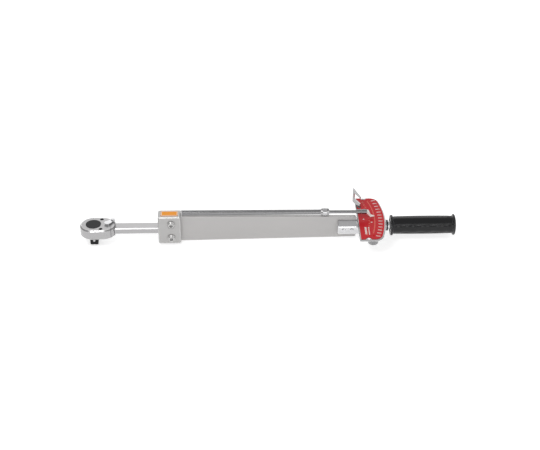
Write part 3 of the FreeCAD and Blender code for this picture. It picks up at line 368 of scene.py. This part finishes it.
class Surface(enum.Enum):
    """Every finish on the wrench."""

    SATIN_CHROME = Finish(
        name="satin_chrome",
        base=(0.40, 0.395, 0.40),
        edge=(0.95, 0.95, 0.95),
        roughness=0.24,
        metallic=0.92,
        grain_depth=0.2,
    )
    HOUSING = Finish(
        name="housing_chrome",
        base=(0.42, 0.415, 0.42),
        edge=(0.95, 0.95, 0.95),
        roughness=0.25,
        metallic=0.92,
        grain_depth=0.2,
        seams=(28.5 * MM, 33.5 * MM),
    )
    # Painted shade: chrome darkened in its colour for the pointer tube, rod and sleeve, standing for the
    # dark surroundings that the tube's top reflects.
    TUBE = Finish(
        name="tube_chrome_painted_shade",
        base=(0.26, 0.26, 0.265),
        edge=(0.8, 0.8, 0.8),
        roughness=0.22,
        metallic=0.92,
        grain_depth=0.2,
    )
    BLOCK_STEEL = Finish(
        name="block_steel",
        base=(0.44, 0.435, 0.43),
        edge=(0.95, 0.95, 0.95),
        roughness=0.34,
        metallic=0.8,
        grain_depth=0.3,
        wear=1.4,
    )
    KNOB_STEEL = Finish(
        name="knob_steel",
        base=(0.20, 0.20, 0.205),
        edge=(0.75, 0.75, 0.75),
        roughness=0.3,
        metallic=0.85,
        grain_depth=0.2,
        wear=1.0,
    )
    BRIGHT = Finish(
        name="bright_plate",
        base=(0.62, 0.62, 0.63),
        edge=(0.95, 0.95, 0.96),
        roughness=0.14,
        metallic=0.95,
        grain_depth=0.1,
        variation=0.03,
    )
    GROUND_STEEL = Finish(
        name="ground_spring_steel",
        base=(0.475, 0.465, 0.46),
        edge=(0.72, 0.71, 0.70),
        roughness=0.42,
        metallic=0.6,
        grain_depth=1.0,
        variation=0.05,
        wear=0.4,
    )
    BLACK_OXIDE = Finish(
        name="black_oxide",
        base=(0.009, 0.009, 0.011),
        edge=(0.06, 0.06, 0.07),
        roughness=0.38,
        metallic=0.05,
        grain_depth=0.2,
        variation=0.1,
        wear=0.5,
        dust=0.0,
        specular=0.25,
    )
    ORANGE = Finish(
        name="orange_enamel",
        base=(0.98, 0.36, 0.03),
        edge=(0.98, 0.75, 0.55),
        roughness=0.4,
        metallic=0.0,
        grain_depth=0.0,
        variation=0.05,
        wear=0.3,
        dust=0.0,
        specular=0.15,
    )
    PALE = Finish(
        name="pale_enamel",
        base=(0.86, 0.84, 0.80),
        edge=(0.93, 0.92, 0.9),
        roughness=0.45,
        metallic=0.0,
        grain_depth=0.0,
        variation=0.04,
        wear=0.2,
        dust=0.0,
    )
    RED = Finish(
        name="red_enamel",
        base=(0.60, 0.010, 0.018),
        edge=(0.66, 0.14, 0.13),
        roughness=0.36,
        metallic=0.0,
        grain_depth=0.0,
        variation=0.08,
        wear=0.2,
        dust=0.0,
        specular=0.12,
    )
    SALMON = Finish(
        name="salmon_enamel",
        base=(0.72, 0.13, 0.09),
        edge=(0.8, 0.4, 0.35),
        roughness=0.42,
        metallic=0.0,
        grain_depth=0.0,
        variation=0.05,
        wear=0.2,
        dust=0.0,
        specular=0.12,
    )
    VINYL = Finish(
        name="black_vinyl",
        base=(0.006, 0.006, 0.007),
        # Painted highlight: this grey edge colour, laid by the convex-edge mask, stands for the glints on
        # the finger crests, the land edge and the flange rims.
        edge=(0.24, 0.24, 0.25),
        roughness=0.2,
        metallic=0.0,
        grain_depth=0.0,
        variation=0.15,
        wear=0.9,
        dust=0.0,
        bump=0.2,
        specular=0.35,
    )


NODE_FINISH: dict[str, Surface] = {
    "ratchet_housing": Surface.HOUSING,
    "ratchet_cover": Surface.HOUSING,
    "cover_screws": Surface.BLACK_OXIDE,
    "wheel_washer": Surface.GROUND_STEEL,
    "clamp_block": Surface.BLOCK_STEEL,
    "tongue_dowel": Surface.BRIGHT,
    "clamp_screws": Surface.BLOCK_STEEL,
    "clamp_nuts": Surface.BLOCK_STEEL,
    "label_plate": Surface.ORANGE,
    "spring_beam": Surface.GROUND_STEEL,
    "pointer_anchor": Surface.BLOCK_STEEL,
    "pointer_tube": Surface.TUBE,
    "pointer_rod": Surface.TUBE,
    "pointer_sleeve": Surface.TUBE,
    "pointer_blade": Surface.PALE,
    "drive_spindle": Surface.BLACK_OXIDE,
    "detent_spring": Surface.BRIGHT,
    "detent_ball": Surface.BRIGHT,
    "pawl": Surface.BLACK_OXIDE,
    "reversing_lever": Surface.BRIGHT,
    "zero_collar": Surface.SATIN_CHROME,
    "handle_socket": Surface.BRIGHT,
    "socket_pins": Surface.BRIGHT,
    "handle_shaft": Surface.BRIGHT,
    "shaft_collar": Surface.BLACK_OXIDE,
    "grip_core": Surface.GROUND_STEEL,
    "end_screw": Surface.BRIGHT,
    "grip": Surface.VINYL,
    "scale_plate": Surface.SATIN_CHROME,
    "guide_ear": Surface.SATIN_CHROME,
    "plate_rivets": Surface.BRIGHT,
    "seat_screws": Surface.BRIGHT,
    "scale_face": Surface.RED,
    "zero_stud": Surface.RED,
    "knob_washer": Surface.BRIGHT,
    "zero_knob": Surface.KNOB_STEEL,
}


class Wardrobe:
    """Materials, made once each."""

    def __init__(self) -> None:
        """Start with the shared effects and no materials."""
        self.effects = SharedEffects()
        self.made: dict[Surface, bpy.types.Material] = {}

    def get(self, surface: Surface) -> bpy.types.Material:
        """The material of a finish, made when it is first asked for.

        Args:
            surface: The finish.

        Returns:
            The material.
        """
        if surface not in self.made:
            self.made[surface] = surface.value.make(self.effects)
        return self.made[surface]

    def dress_nodes(self, nodes: dict[str, bpy.types.Object]) -> None:
        """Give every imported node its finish.

        Args:
            nodes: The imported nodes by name.
        """
        for name, node in nodes.items():
            node.data.materials.clear()
            node.data.materials.append(self.get(NODE_FINISH[name]))


# ------------------------------------------------------------------ mesh helpers


def link_mesh(
    name: str, mesh: bpy.types.Mesh, material: bpy.types.Material, body: str | None = None
) -> bpy.types.Object:
    """Add a finished mesh as a piece, on a body when one is named.

    Args:
        name: The piece's name.
        mesh: Its mesh, already in place.
        material: Its material.
        body: The body that it rides on.

    Returns:
        The piece's object.
    """
    piece = bpy.data.objects.new(name, mesh)
    bpy.context.scene.collection.objects.link(piece)
    mesh.materials.clear()
    mesh.materials.append(material)
    for polygon in mesh.polygons:
        polygon.material_index = 0
    if body is not None:
        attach(piece, body)
    LOG.info("piece %s: %d faces on %s", name, len(mesh.polygons), body)
    return piece


def mesh_from(name: str, shape: bmesh.types.BMesh) -> bpy.types.Mesh:
    """Turn a bmesh into a mesh with outward faces and soft shading under 35 degrees.

    Args:
        name: The mesh's name.
        shape: The bmesh, which is freed.

    Returns:
        The mesh.
    """
    bmesh.ops.remove_doubles(shape, verts=shape.verts, dist=1e-7)
    bmesh.ops.recalc_face_normals(shape, faces=shape.faces)
    mesh = bpy.data.meshes.new(name)
    shape.to_mesh(mesh)
    shape.free()
    mesh.shade_smooth()
    mesh.set_sharp_from_angle(angle=math.radians(35))
    return mesh


# ------------------------------------------------------------------ geometry-node tools


@dataclass
class Repeater:
    """A geometry-node tree that sets copies of a small block along an arc, and its maker."""

    name: str
    tree: bpy.types.NodeTree = field(init=False)

    def __post_init__(self) -> None:
        """Build the tree."""
        self.tree = bpy.data.node_groups.new(self.name, "GeometryNodeTree")
        face = self.tree.interface
        face.new_socket("Geometry", in_out="INPUT", socket_type="NodeSocketGeometry")
        for label in ("Radius", "Start", "Sweep", "Length", "Width", "Height"):
            face.new_socket(label, in_out="INPUT", socket_type="NodeSocketFloat")
        face.new_socket("Count", in_out="INPUT", socket_type="NodeSocketInt")
        face.new_socket("Finish", in_out="INPUT", socket_type="NodeSocketMaterial")
        face.new_socket("Geometry", in_out="OUTPUT", socket_type="NodeSocketGeometry")
        self.build()

    def build(self) -> None:
        """Lay the copies: points in a row are bent on the arc, and each carries a block."""
        tree = self.tree
        given = add_node(tree, "NodeGroupInput")
        result = add_node(tree, "NodeGroupOutput")
        points, angle = self.arc_of_points(given)
        facing = add_node(tree, "ShaderNodeCombineXYZ")
        tree.links.new(angle, facing.inputs["Z"])
        copies = add_node(tree, "GeometryNodeInstanceOnPoints")
        tree.links.new(points, copies.inputs["Points"])
        tree.links.new(self.block(given), copies.inputs["Instance"])
        tree.links.new(facing.outputs[0], copies.inputs["Rotation"])
        real = add_node(tree, "GeometryNodeRealizeInstances")
        tree.links.new(copies.outputs["Instances"], real.inputs["Geometry"])
        coloured = add_node(tree, "GeometryNodeSetMaterial")
        tree.links.new(real.outputs["Geometry"], coloured.inputs["Geometry"])
        tree.links.new(given.outputs["Finish"], coloured.inputs["Material"])
        tree.links.new(coloured.outputs["Geometry"], result.inputs["Geometry"])

    def arc_of_points(self, given: bpy.types.Node) -> tuple[bpy.types.NodeSocket, bpy.types.NodeSocket]:
        """Bend a row of points on the arc.

        Args:
            given: The tree's input node.

        Returns:
            The points' socket and the socket of each point's angle.
        """
        tree = self.tree
        row = add_node(tree, "GeometryNodeMeshLine", mode="OFFSET")
        tree.links.new(given.outputs["Count"], row.inputs["Count"])
        index = add_node(tree, "GeometryNodeInputIndex")
        last = maths(tree, "SUBTRACT", given.outputs["Count"], 1.0)
        share = maths(tree, "DIVIDE", index.outputs[0], last)
        swept = maths(tree, "MULTIPLY", share, given.outputs["Sweep"])
        angle = maths(tree, "ADD", given.outputs["Start"], swept)
        spot = add_node(tree, "ShaderNodeCombineXYZ")
        cosine = maths(tree, "COSINE", angle)
        sine = maths(tree, "SINE", angle)
        tree.links.new(maths(tree, "MULTIPLY", cosine, given.outputs["Radius"]), spot.inputs["X"])
        tree.links.new(maths(tree, "MULTIPLY", sine, given.outputs["Radius"]), spot.inputs["Y"])
        placed = add_node(tree, "GeometryNodeSetPosition")
        tree.links.new(row.outputs["Mesh"], placed.inputs["Geometry"])
        tree.links.new(spot.outputs[0], placed.inputs["Position"])
        return placed.outputs["Geometry"], angle

    def block(self, given: bpy.types.Node) -> bpy.types.NodeSocket:
        """The block that is copied, with its three sizes from the inputs.

        Args:
            given: The tree's input node.

        Returns:
            The block's mesh socket.
        """
        size = add_node(self.tree, "ShaderNodeCombineXYZ")
        for label, axis in (("Length", "X"), ("Width", "Y"), ("Height", "Z")):
            self.tree.links.new(given.outputs[label], size.inputs[axis])
        block = add_node(self.tree, "GeometryNodeMeshCube")
        self.tree.links.new(size.outputs[0], block.inputs["Size"])
        return block.outputs["Mesh"]

    def make(self, name: str, place: Matrix, **values: object) -> bpy.types.Mesh:
        """Run the tree and return a plain mesh.

        Args:
            name: The mesh's name.
            place: Where the arc's centre goes, and how it is turned.
            values: The tree's inputs by name.

        Returns:
            The mesh in its place.
        """
        holder = bpy.data.objects.new(name, bpy.data.meshes.new(name))
        bpy.context.scene.collection.objects.link(holder)
        modifier = holder.modifiers.new("copies", "NODES")
        modifier.node_group = self.tree
        for item in self.tree.interface.items_tree:
            if item.item_type == "SOCKET" and item.in_out == "INPUT" and item.name in values:
                modifier[item.identifier] = values[item.name]
        graph = bpy.context.evaluated_depsgraph_get()
        mesh = bpy.data.meshes.new_from_object(holder.evaluated_get(graph))
        mesh.transform(place)
        bpy.data.objects.remove(holder)
        return mesh


# ------------------------------------------------------------------ the scale


@dataclass(frozen=True)
class PrintRow:
    """A row of bare blocks on the face: its place, each block's size along X, and their number and pitch."""

    x: float
    start: float
    width: float
    count: int
    pitch: float


@dataclass
class ScaleGraduation:
    """White ticks and plain numbers on the red face, the printed rail and the bare blocks of print."""

    wardrobe: Wardrobe
    repeater: Repeater
    centre: Vector
    top: float
    full_angle: float = math.radians(16.1)
    full_reading: int = 240
    step_reading: int = 40
    tick_radius: float = 190.2 * MM
    tick_length: float = 6.6 * MM
    tick_width: float = 1.3 * MM
    small_length: float = 2.4 * MM
    small_width: float = 0.25 * MM
    ink: float = 0.12 * MM
    rail_radius: float = 181.2 * MM
    rail_width: float = 1.5 * MM
    figure_radius: float = 172.6 * MM
    figure_size: float = 4.2 * MM

    def place(self) -> Matrix:
        """The centre of the printed arcs, on the face."""
        return Matrix.Translation((self.centre.x, self.centre.y, self.top + self.ink / 2))

    def ticks(self) -> None:
        """Long ticks at every step and short ones between them."""
        count = 2 * self.full_reading // self.step_reading + 1
        white = self.wardrobe.get(Surface.PALE)
        salmon = self.wardrobe.get(Surface.SALMON)
        inner = self.tick_radius + (self.tick_length - self.small_length) / 2
        rows = (
            ("scale_ticks", white, count, self.tick_radius, self.tick_length, self.tick_width),
            ("scale_small_ticks", salmon, (count - 1) * 4 + 1, inner, self.small_length, self.small_width),
        )
        for name, paint, number, radius, length, width in rows:
            mesh = self.repeater.make(
                name,
                self.place(),
                Radius=radius,
                Start=-self.full_angle,
                Sweep=2 * self.full_angle,
                Length=length,
                Width=width,
                Height=self.ink,
                Count=number,
                Finish=paint,
            )
            link_mesh(name, mesh, paint, "scale")

    def rail(self) -> None:
        """The salmon arc inside the ticks."""
        shape = bmesh.new()
        steps = 80
        bands = []
        for step in range(steps + 1):
            angle = -self.full_angle * 1.04 + 2.08 * self.full_angle * step / steps
            column = []
            for radius in (self.rail_radius - self.rail_width / 2, self.rail_radius + self.rail_width / 2):
                for level in (0.0, self.ink * 0.7):
                    spot = Vector((radius * math.cos(angle), radius * math.sin(angle), self.top + level))
                    column.append(shape.verts.new(spot + Vector((self.centre.x, self.centre.y, 0))))
            bands.append(column)
        for first, second in zip(bands, bands[1:]):
            for corner, other in ((0, 1), (1, 3), (3, 2), (2, 0)):
                shape.faces.new((first[corner], first[other], second[other], second[corner]))
        for column in (bands[0], bands[-1]):
            shape.faces.new((column[0], column[1], column[3], column[2]))
        link_mesh("scale_rail", mesh_from("scale_rail", shape), self.wardrobe.get(Surface.SALMON), "scale")

    def figures(self) -> None:
        """Plain numbers at every long tick, counted each way from the middle."""
        paint = self.wardrobe.get(Surface.SALMON)
        shape = bmesh.new()
        for reading in range(-self.full_reading, self.full_reading + 1, self.step_reading):
            angle = self.full_angle * reading / self.full_reading
            text = bpy.data.curves.new("figure", "FONT")
            text.body = str(abs(reading))
            text.size = self.figure_size
            text.align_x = "CENTER"
            text.align_y = "CENTER"
            text.extrude = self.ink / 2
            holder = bpy.data.objects.new("figure", text)
            bpy.context.scene.collection.objects.link(holder)
            graph = bpy.context.evaluated_depsgraph_get()
            mesh = bpy.data.meshes.new_from_object(holder.evaluated_get(graph))
            around = Matrix.Rotation(angle, 4, "Z")
            outwards = Matrix.Translation((self.figure_radius, 0, 0)) @ Matrix.Rotation(math.pi / 2, 4, "Z")
            mesh.transform(self.place() @ around @ outwards)
            shape.from_mesh(mesh)
            bpy.data.objects.remove(holder)
        link_mesh("scale_figures", mesh_from("scale_figures", shape), paint, "scale")

    def bare_print(self) -> None:
        """Rows of small pale blocks where a maker would print words, left without any."""
        pale = self.wardrobe.get(Surface.PALE)
        shape = bmesh.new()
        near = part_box("scale_face")[0].x
        rows = (
            PrintRow(x=9.0 * MM, start=-46.0 * MM, width=3.0 * MM, count=6, pitch=3.6 * MM),
            PrintRow(x=14.0 * MM, start=-47.0 * MM, width=1.6 * MM, count=7, pitch=3.2 * MM),
            PrintRow(x=8.0 * MM, start=-3.0 * MM, width=2.4 * MM, count=1, pitch=3.0 * MM),
            PrintRow(x=20.0 * MM, start=-12.0 * MM, width=2.4 * MM, count=1, pitch=3.0 * MM),
        )
        for row in rows:
            size = Matrix.Diagonal((row.width, row.pitch * 0.72, self.ink * 0.6, 1.0))
            for number in range(row.count):
                y = row.start + number * row.pitch
                spot = Matrix.Translation((near + row.x, y, self.top + self.ink * 0.3))
                bmesh.ops.create_cube(shape, size=1.0, matrix=spot @ size)
        link_mesh("scale_bare_print", mesh_from("scale_bare_print", shape), pale, "scale")

    def build(self) -> None:
        """Make every printed mark."""
        self.ticks()
        self.rail()
        self.figures()
        self.bare_print()


# ------------------------------------------------------------------ the beam


@dataclass
class SpringBeam:
    """The flat beam as one piece, which joins the head to the tail."""

    wardrobe: Wardrobe
    pivot: Vector
    bend_half: float = 95 * MM
    columns: int = 96
    bevel: float = 0.5 * MM
    end_corner: float = 1.2 * MM
    shoulder: float = 2.5 * MM

    def build(self) -> None:
        """Copy the beam's outline in narrow columns, tapering from its root to its far end."""
        low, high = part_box("spring_beam")
        shape = bmesh.new()
        rings = []
        for x, half in self.stations(low, high):
            corners = self.section(low.y, high.y, (low.z + high.z) / 2, half)
            rings.append([shape.verts.new((x, y, z)) for y, z in corners])
        for first, second in zip(rings, rings[1:]):
            for step in range(len(first)):
                after = (step + 1) % len(first)
                shape.faces.new((first[step], second[step], second[after], first[after]))
        shape.faces.new(rings[0])
        shape.faces.new(rings[-1])
        steel = self.wardrobe.get(Surface.GROUND_STEEL)
        piece = link_mesh("bending_beam", mesh_from("bending_beam", shape), steel)
        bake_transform(piece)
        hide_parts("spring_beam")

    def stations(self, low: Vector, high: Vector) -> list[tuple[float, float]]:
        """Places along the beam and half its height at each.

        Args:
            low: The beam's lowest corner.
            high: Its highest corner.

        Returns:
            (x, half height) pairs from the clamped tongue to the far end.
        """
        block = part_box("clamp_block")[1].x
        root = (high.z - low.z) / 2
        tip = self.tip_half()
        found = [(low.x, root - self.shoulder), (block, root - self.shoulder)]
        for column in range(self.columns + 1):
            share = column / self.columns
            x = block + (high.x - block) * share
            cut = max(0.0, self.end_corner - (high.x - x))
            found.append((x, root + (tip - root) * share - cut))
        return found

    def tip_half(self) -> float:
        """Half the beam's height at its far end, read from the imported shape.

        Returns:
            The half height.
        """
        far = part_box("spring_beam")[1].x
        mesh = bpy.data.objects["spring_beam"].data
        levels = [corner.co.z for corner in mesh.vertices if abs(corner.co.x - far + 3 * MM) < 3.2 * MM]
        return (max(levels) - min(levels)) / 2

    def section(self, near: float, far: float, centre: float, half: float) -> list[tuple[float, float]]:
        """The beam's section with small broken corners.

        Args:
            near: Its lowest y.
            far: Its highest y.
            centre: The z of its middle.
            half: Half its height.

        Returns:
            The section's corners as (y, z) pairs.
        """
        low = centre - half
        high = centre + half
        return [
            (near, low + self.bevel),
            (near + self.bevel, low),
            (far - self.bevel, low),
            (far, low + self.bevel),
            (far, high - self.bevel),
            (far - self.bevel, high),
            (near + self.bevel, high),
            (near, high - self.bevel),
        ]


# ------------------------------------------------------------------ the grip


@dataclass
class Grip:
    """The vinyl grip with finger hollows, a mould line and rounded flanges."""

    wardrobe: Wardrobe
    first_crest: float = 13.7 * MM
    hollow_pitch: float = 23.6 * MM
    hollow_depth: float = 1.25 * MM
    land: float = 0.7 * MM
    land_angle: float = math.radians(38)
    hollow_low: float = math.radians(-70)
    wall: float = 3.0 * MM
    belly: float = 0.5 * MM
    edge_round: float = 0.9 * MM
    mouth_flange: float = 3.4 * MM
    end_flange: float = 4.4 * MM
    mouth_fillet: float = 1.6 * MM
    end_fillet: float = 1.4 * MM
    rings: int = 150
    steps: int = 128

    def radius(self, place: float, length: float, largest: float) -> float:
        """The grip's plain radius at a place along it.

        Args:
            place: Distance from its open end.
            length: Its whole length.
            largest: The radius of its end flange.

        Returns:
            The radius there.
        """
        flange = largest - 0.5 * MM
        body = largest - self.wall + self.belly * math.sin(math.pi * min(1.0, max(0.0, place / length)))
        last = length - self.end_flange
        if place < self.edge_round:
            rise = self.edge_round**2 - (self.edge_round - place) ** 2
            return flange - self.edge_round + math.sqrt(max(0.0, rise))
        if place < self.mouth_flange:
            return flange
        if place < self.mouth_flange + self.mouth_fillet:
            share = (place - self.mouth_flange) / self.mouth_fillet
            return flange + (body - flange) * (0.5 - 0.5 * math.cos(math.pi * share))
        if place < last - self.end_fillet:
            return body
        if place < last:
            share = (place - last + self.end_fillet) / self.end_fillet
            return body + (largest - body) * (0.5 - 0.5 * math.cos(math.pi * share))
        tail = (place - last) / self.end_flange
        return largest * (1.0 - 0.32 * max(0.0, tail - 0.35) ** 2 / 0.65**2)

    def build(self) -> None:
        """Make the grip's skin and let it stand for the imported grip."""
        low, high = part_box("grip")
        length = high.x - low.x
        largest = (high.z - low.z) / 2
        centre = Vector((low.x, (low.y + high.y) / 2, (low.z + high.z) / 2))
        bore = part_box("grip_core")[1].z - centre.z + 0.05 * MM
        shape = bmesh.new()
        columns = []
        for ring in range(self.rings + 1):
            place = length * ring / self.rings
            base = self.radius(place, length, largest)
            columns.append(self.ring(shape, centre, place, base, length))
        mouth = [centre + Vector((0, bore * math.cos(a), bore * math.sin(a))) for a in self.angles()]
        inner = [shape.verts.new(corner) for corner in mouth]
        deep = [shape.verts.new(corner + Vector((8 * MM, 0, 0))) for corner in mouth]
        columns = [deep, inner, *columns]
        for first, second in zip(columns, columns[1:]):
            for step in range(self.steps):
                after = (step + 1) % self.steps
                shape.faces.new((first[step], second[step], second[after], first[after]))
        shape.faces.new(columns[0])
        cap = self.dome(shape, centre + Vector((length, 0, 0)), columns[-1])
        shape.faces.new(cap)
        vinyl = self.wardrobe.get(Surface.VINYL)
        piece = link_mesh("moulded_grip", mesh_from("moulded_grip", shape), vinyl, "tail")
        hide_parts("grip")

    def angles(self) -> list[float]:
        """The angles of a ring's corners."""
        return [math.tau * step / self.steps for step in range(self.steps)]

    def ring(
        self, shape: bmesh.types.BMesh, centre: Vector, place: float, base: float, length: float
    ) -> list[bmesh.types.BMVert]:
        """One ring of the skin with its finger hollows and thumb land.

        Args:
            shape: The bmesh to add to.
            centre: The grip's open end on its axis.
            place: Distance from the open end.
            base: The plain radius there.
            length: The grip's whole length.

        Returns:
            The ring's corners.
        """
        corners = []
        fade_in = min(1.0, max(0.0, (place - 6 * MM) / (5 * MM)))
        fade_out = min(1.0, max(0.0, (length - 9 * MM - place) / (5 * MM)))
        fade = fade_in * fade_out
        valley = 0.5 - 0.5 * math.cos(math.tau * (place - self.first_crest) / self.hollow_pitch)
        for angle in self.angles():
            height = (math.pi - angle + math.pi) % math.tau - math.pi
            below = min(1.0, max(0.0, (self.land_angle - height) / math.radians(7)))
            above = min(1.0, max(0.0, (height - self.hollow_low) / math.radians(35)))
            zone = below * above
            radius = base + fade * (self.land * (0.35 - zone) - self.hollow_depth * valley * zone * zone)
            corners.append(
                shape.verts.new(centre + Vector((place, radius * math.cos(angle), radius * math.sin(angle))))
            )
        return corners

    def dome(
        self, shape: bmesh.types.BMesh, end: Vector, rim: list[bmesh.types.BMVert]
    ) -> list[bmesh.types.BMVert]:
        """Close the end with two shrinking rings.

        Args:
            shape: The bmesh to add to.
            end: The closed end's centre.
            rim: The last ring of the skin.

        Returns:
            The innermost ring.
        """
        previous = rim
        for share in (0.75, 0.4):
            ring = [shape.verts.new(end + (corner.co - end) * share) for corner in rim]
            for corner in ring:
                corner.co.x = end.x
            for step in range(self.steps):
                after = (step + 1) % self.steps
                shape.faces.new((previous[step], ring[step], ring[after], previous[after]))
            previous = ring
        return previous


# ------------------------------------------------------------------ trim


@dataclass
class Trim:
    """Small details: the label's border and the knurl on the zeroing collar."""

    wardrobe: Wardrobe
    repeater: Repeater
    border_inset: float = 1.1 * MM
    border_width: float = 0.8 * MM
    border_height: float = 0.12 * MM
    flutes: int = 32

    def label_border(self) -> None:
        """A pale border round the bare orange label."""
        low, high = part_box("label_plate")
        shape = bmesh.new()
        middle = (low + high) / 2
        half_x = (high.x - low.x) / 2 - self.border_inset
        half_y = (high.y - low.y) / 2 - self.border_inset
        bars = (
            (0, half_y, 2 * half_x + self.border_width, self.border_width),
            (0, -half_y, 2 * half_x + self.border_width, self.border_width),
            (half_x, 0, self.border_width, 2 * half_y),
            (-half_x, 0, self.border_width, 2 * half_y),
        )
        for x, y, long, wide in bars:
            spot = Matrix.Translation((middle.x + x, middle.y + y, high.z + self.border_height / 2))
            size = Matrix.Diagonal((long, wide, self.border_height, 1.0))
            bmesh.ops.create_cube(shape, size=1.0, matrix=spot @ size)
        link_mesh("label_border", mesh_from("label_border", shape), self.wardrobe.get(Surface.PALE), "head")

    def collar_knurl(self) -> None:
        """Fine flutes round the zeroing collar."""
        low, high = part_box("zero_collar")
        centre = (low + high) / 2
        bright = self.wardrobe.get(Surface.BRIGHT)
        place = Matrix.Translation(centre) @ Matrix.Rotation(math.pi / 2, 4, "Y")
        mesh = self.repeater.make(
            "collar_knurl",
            place,
            Radius=(high.y - low.y) / 2,
            Start=0.0,
            Sweep=math.tau * (self.flutes - 1) / self.flutes,
            Length=0.3 * MM,
            Width=0.5 * MM,
            Height=(high.x - low.x) * 0.45,
            Count=self.flutes,
            Finish=bright,
        )
        link_mesh("collar_knurl", mesh, bright, "collar")

    def build(self) -> None:
        """Make every detail."""
        self.label_border()
        self.collar_knurl()


# ------------------------------------------------------------------ stage


@dataclass
class Studio:
    """Pale floor, soft lamps, a white world for the camera and the camera itself."""

    azimuth: float = math.radians(-1.3)
    elevation: float = math.radians(32.5)
    distance: float = 2.22
    lens: float = 92.7
    target: Vector = field(default_factory=lambda: Vector((0.281, 0.0, 0.014)))

    def floor(self) -> None:
        """A wide pale floor just under the wrench that takes its shadow."""
        shape = bmesh.new()
        level = min(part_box(name)[0].z for name in ("clamp_block", "drive_spindle", "grip"))
        bmesh.ops.create_grid(shape, x_segments=1, y_segments=1, size=6.0)
        for corner in shape.verts:
            corner.co.z = level - 0.3 * MM
        mesh = bpy.data.meshes.new("floor")
        shape.to_mesh(mesh)
        shape.free()
        floor = bpy.data.objects.new("floor", mesh)
        bpy.context.scene.collection.objects.link(floor)
        mesh.materials.append(self.floor_material())

    def floor_material(self) -> bpy.types.Material:
        """Matt paint that glows a little where it is looked at, so that it stays pale.

        Returns:
            The material.
        """
        material = bpy.data.materials.new("pale_floor")
        material.use_nodes = True
        tree = material.node_tree
        shader = tree.nodes["Principled BSDF"]
        shader.inputs["Base Color"].default_value = (0.93, 0.93, 0.93, 1.0)
        shader.inputs["Roughness"].default_value = 0.9
        shader.inputs["Specular IOR Level"].default_value = 0.0
        glow = add_node(tree, "ShaderNodeEmission")
        glow.inputs["Strength"].default_value = 0.5
        both = add_node(tree, "ShaderNodeAddShader")
        choice = add_node(tree, "ShaderNodeMixShader")
        path = add_node(tree, "ShaderNodeLightPath")
        seen = maths(tree, "MAXIMUM", path.outputs["Is Camera Ray"], path.outputs["Is Glossy Ray"])
        seen = maths(tree, "MAXIMUM", seen, path.outputs["Is Transmission Ray"])
        tree.links.new(shader.outputs[0], both.inputs[0])
        tree.links.new(glow.outputs[0], both.inputs[1])
        tree.links.new(seen, choice.inputs[0])
        tree.links.new(shader.outputs[0], choice.inputs[1])
        tree.links.new(both.outputs[0], choice.inputs[2])
        tree.links.new(choice.outputs[0], tree.nodes["Material Output"].inputs["Surface"])
        return material

    def world(self) -> None:
        """White where the camera looks, softer as light."""
        world = bpy.data.worlds.new("studio")
        bpy.context.scene.world = world
        world.use_nodes = True
        tree = world.node_tree
        back = tree.nodes["Background"]
        path = add_node(tree, "ShaderNodeLightPath")
        seen = maths(tree, "MAXIMUM", path.outputs["Is Camera Ray"], path.outputs["Is Transmission Ray"])
        lit = maths(tree, "MULTIPLY", seen, 0.45)
        tree.links.new(maths(tree, "ADD", lit, 0.55), back.inputs["Strength"])
        back.inputs["Color"].default_value = (1.0, 1.0, 1.0, 1.0)

    def lamp(self, name: str, place: Vector, size: float, power: float) -> None:
        """A square soft lamp aimed at the wrench's middle.

        Args:
            name: The lamp's name.
            place: Where it stands.
            size: Its side.
            power: Its power in watts.
        """
        light = bpy.data.lights.new(name, "AREA")
        light.size = size
        light.energy = power
        holder = bpy.data.objects.new(name, light)
        holder.location = place
        holder.rotation_euler = (self.target - place).to_track_quat("-Z", "Y").to_euler()
        bpy.context.scene.collection.objects.link(holder)

    def camera(self) -> None:
        """The camera, looking slightly down at the wrench's side."""
        data = bpy.data.cameras.new("camera")
        data.lens = self.lens
        data.sensor_width = 36.0
        data.clip_end = 50.0
        camera = bpy.data.objects.new("camera", data)
        level = math.cos(self.elevation)
        away = Vector(
            (
                math.sin(self.azimuth) * level,
                -math.cos(self.azimuth) * level,
                math.sin(self.elevation),
            )
        )
        camera.location = self.target + away * self.distance
        camera.rotation_euler = (-away).to_track_quat("-Z", "Y").to_euler()
        bpy.context.scene.collection.objects.link(camera)
        bpy.context.scene.camera = camera

    def build(self) -> None:
        """Set the whole stage."""
        self.floor()
        self.world()
        self.lamp("key", Vector((-0.35, -1.15, 1.75)), 0.7, 11.0)
        self.lamp("fill", Vector((1.3, -1.3, 0.8)), 0.9, 4.0)
        self.lamp("back", Vector((0.3, 1.9, 1.3)), 1.4, 6.0)
        self.lamp("low", Vector((0.5, -2.4, 0.5)), 0.7, 3.0)
        self.camera()


# ------------------------------------------------------------------ build


def main() -> None:
    """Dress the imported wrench, add the finer pieces and set the stage."""
    logging.basicConfig(level=logging.INFO)
    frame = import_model()
    bpy.context.scene.view_settings.view_transform = "Standard"
    hinge = next(joint for joint in frame["joints"] if joint["name"] == "beam_flex")
    pivot = Vector(hinge["pos_m"])
    wardrobe = Wardrobe()
    wardrobe.dress_nodes(frame["nodes"])
    repeater = Repeater("arc_of_blocks")
    SpringBeam(wardrobe, pivot).build()
    Grip(wardrobe).build()
    Trim(wardrobe, repeater).build()
    ScaleGraduation(wardrobe, repeater, pivot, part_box("scale_face")[1].z).build()
    Studio().build()


if __name__ == "__main__":
    main()
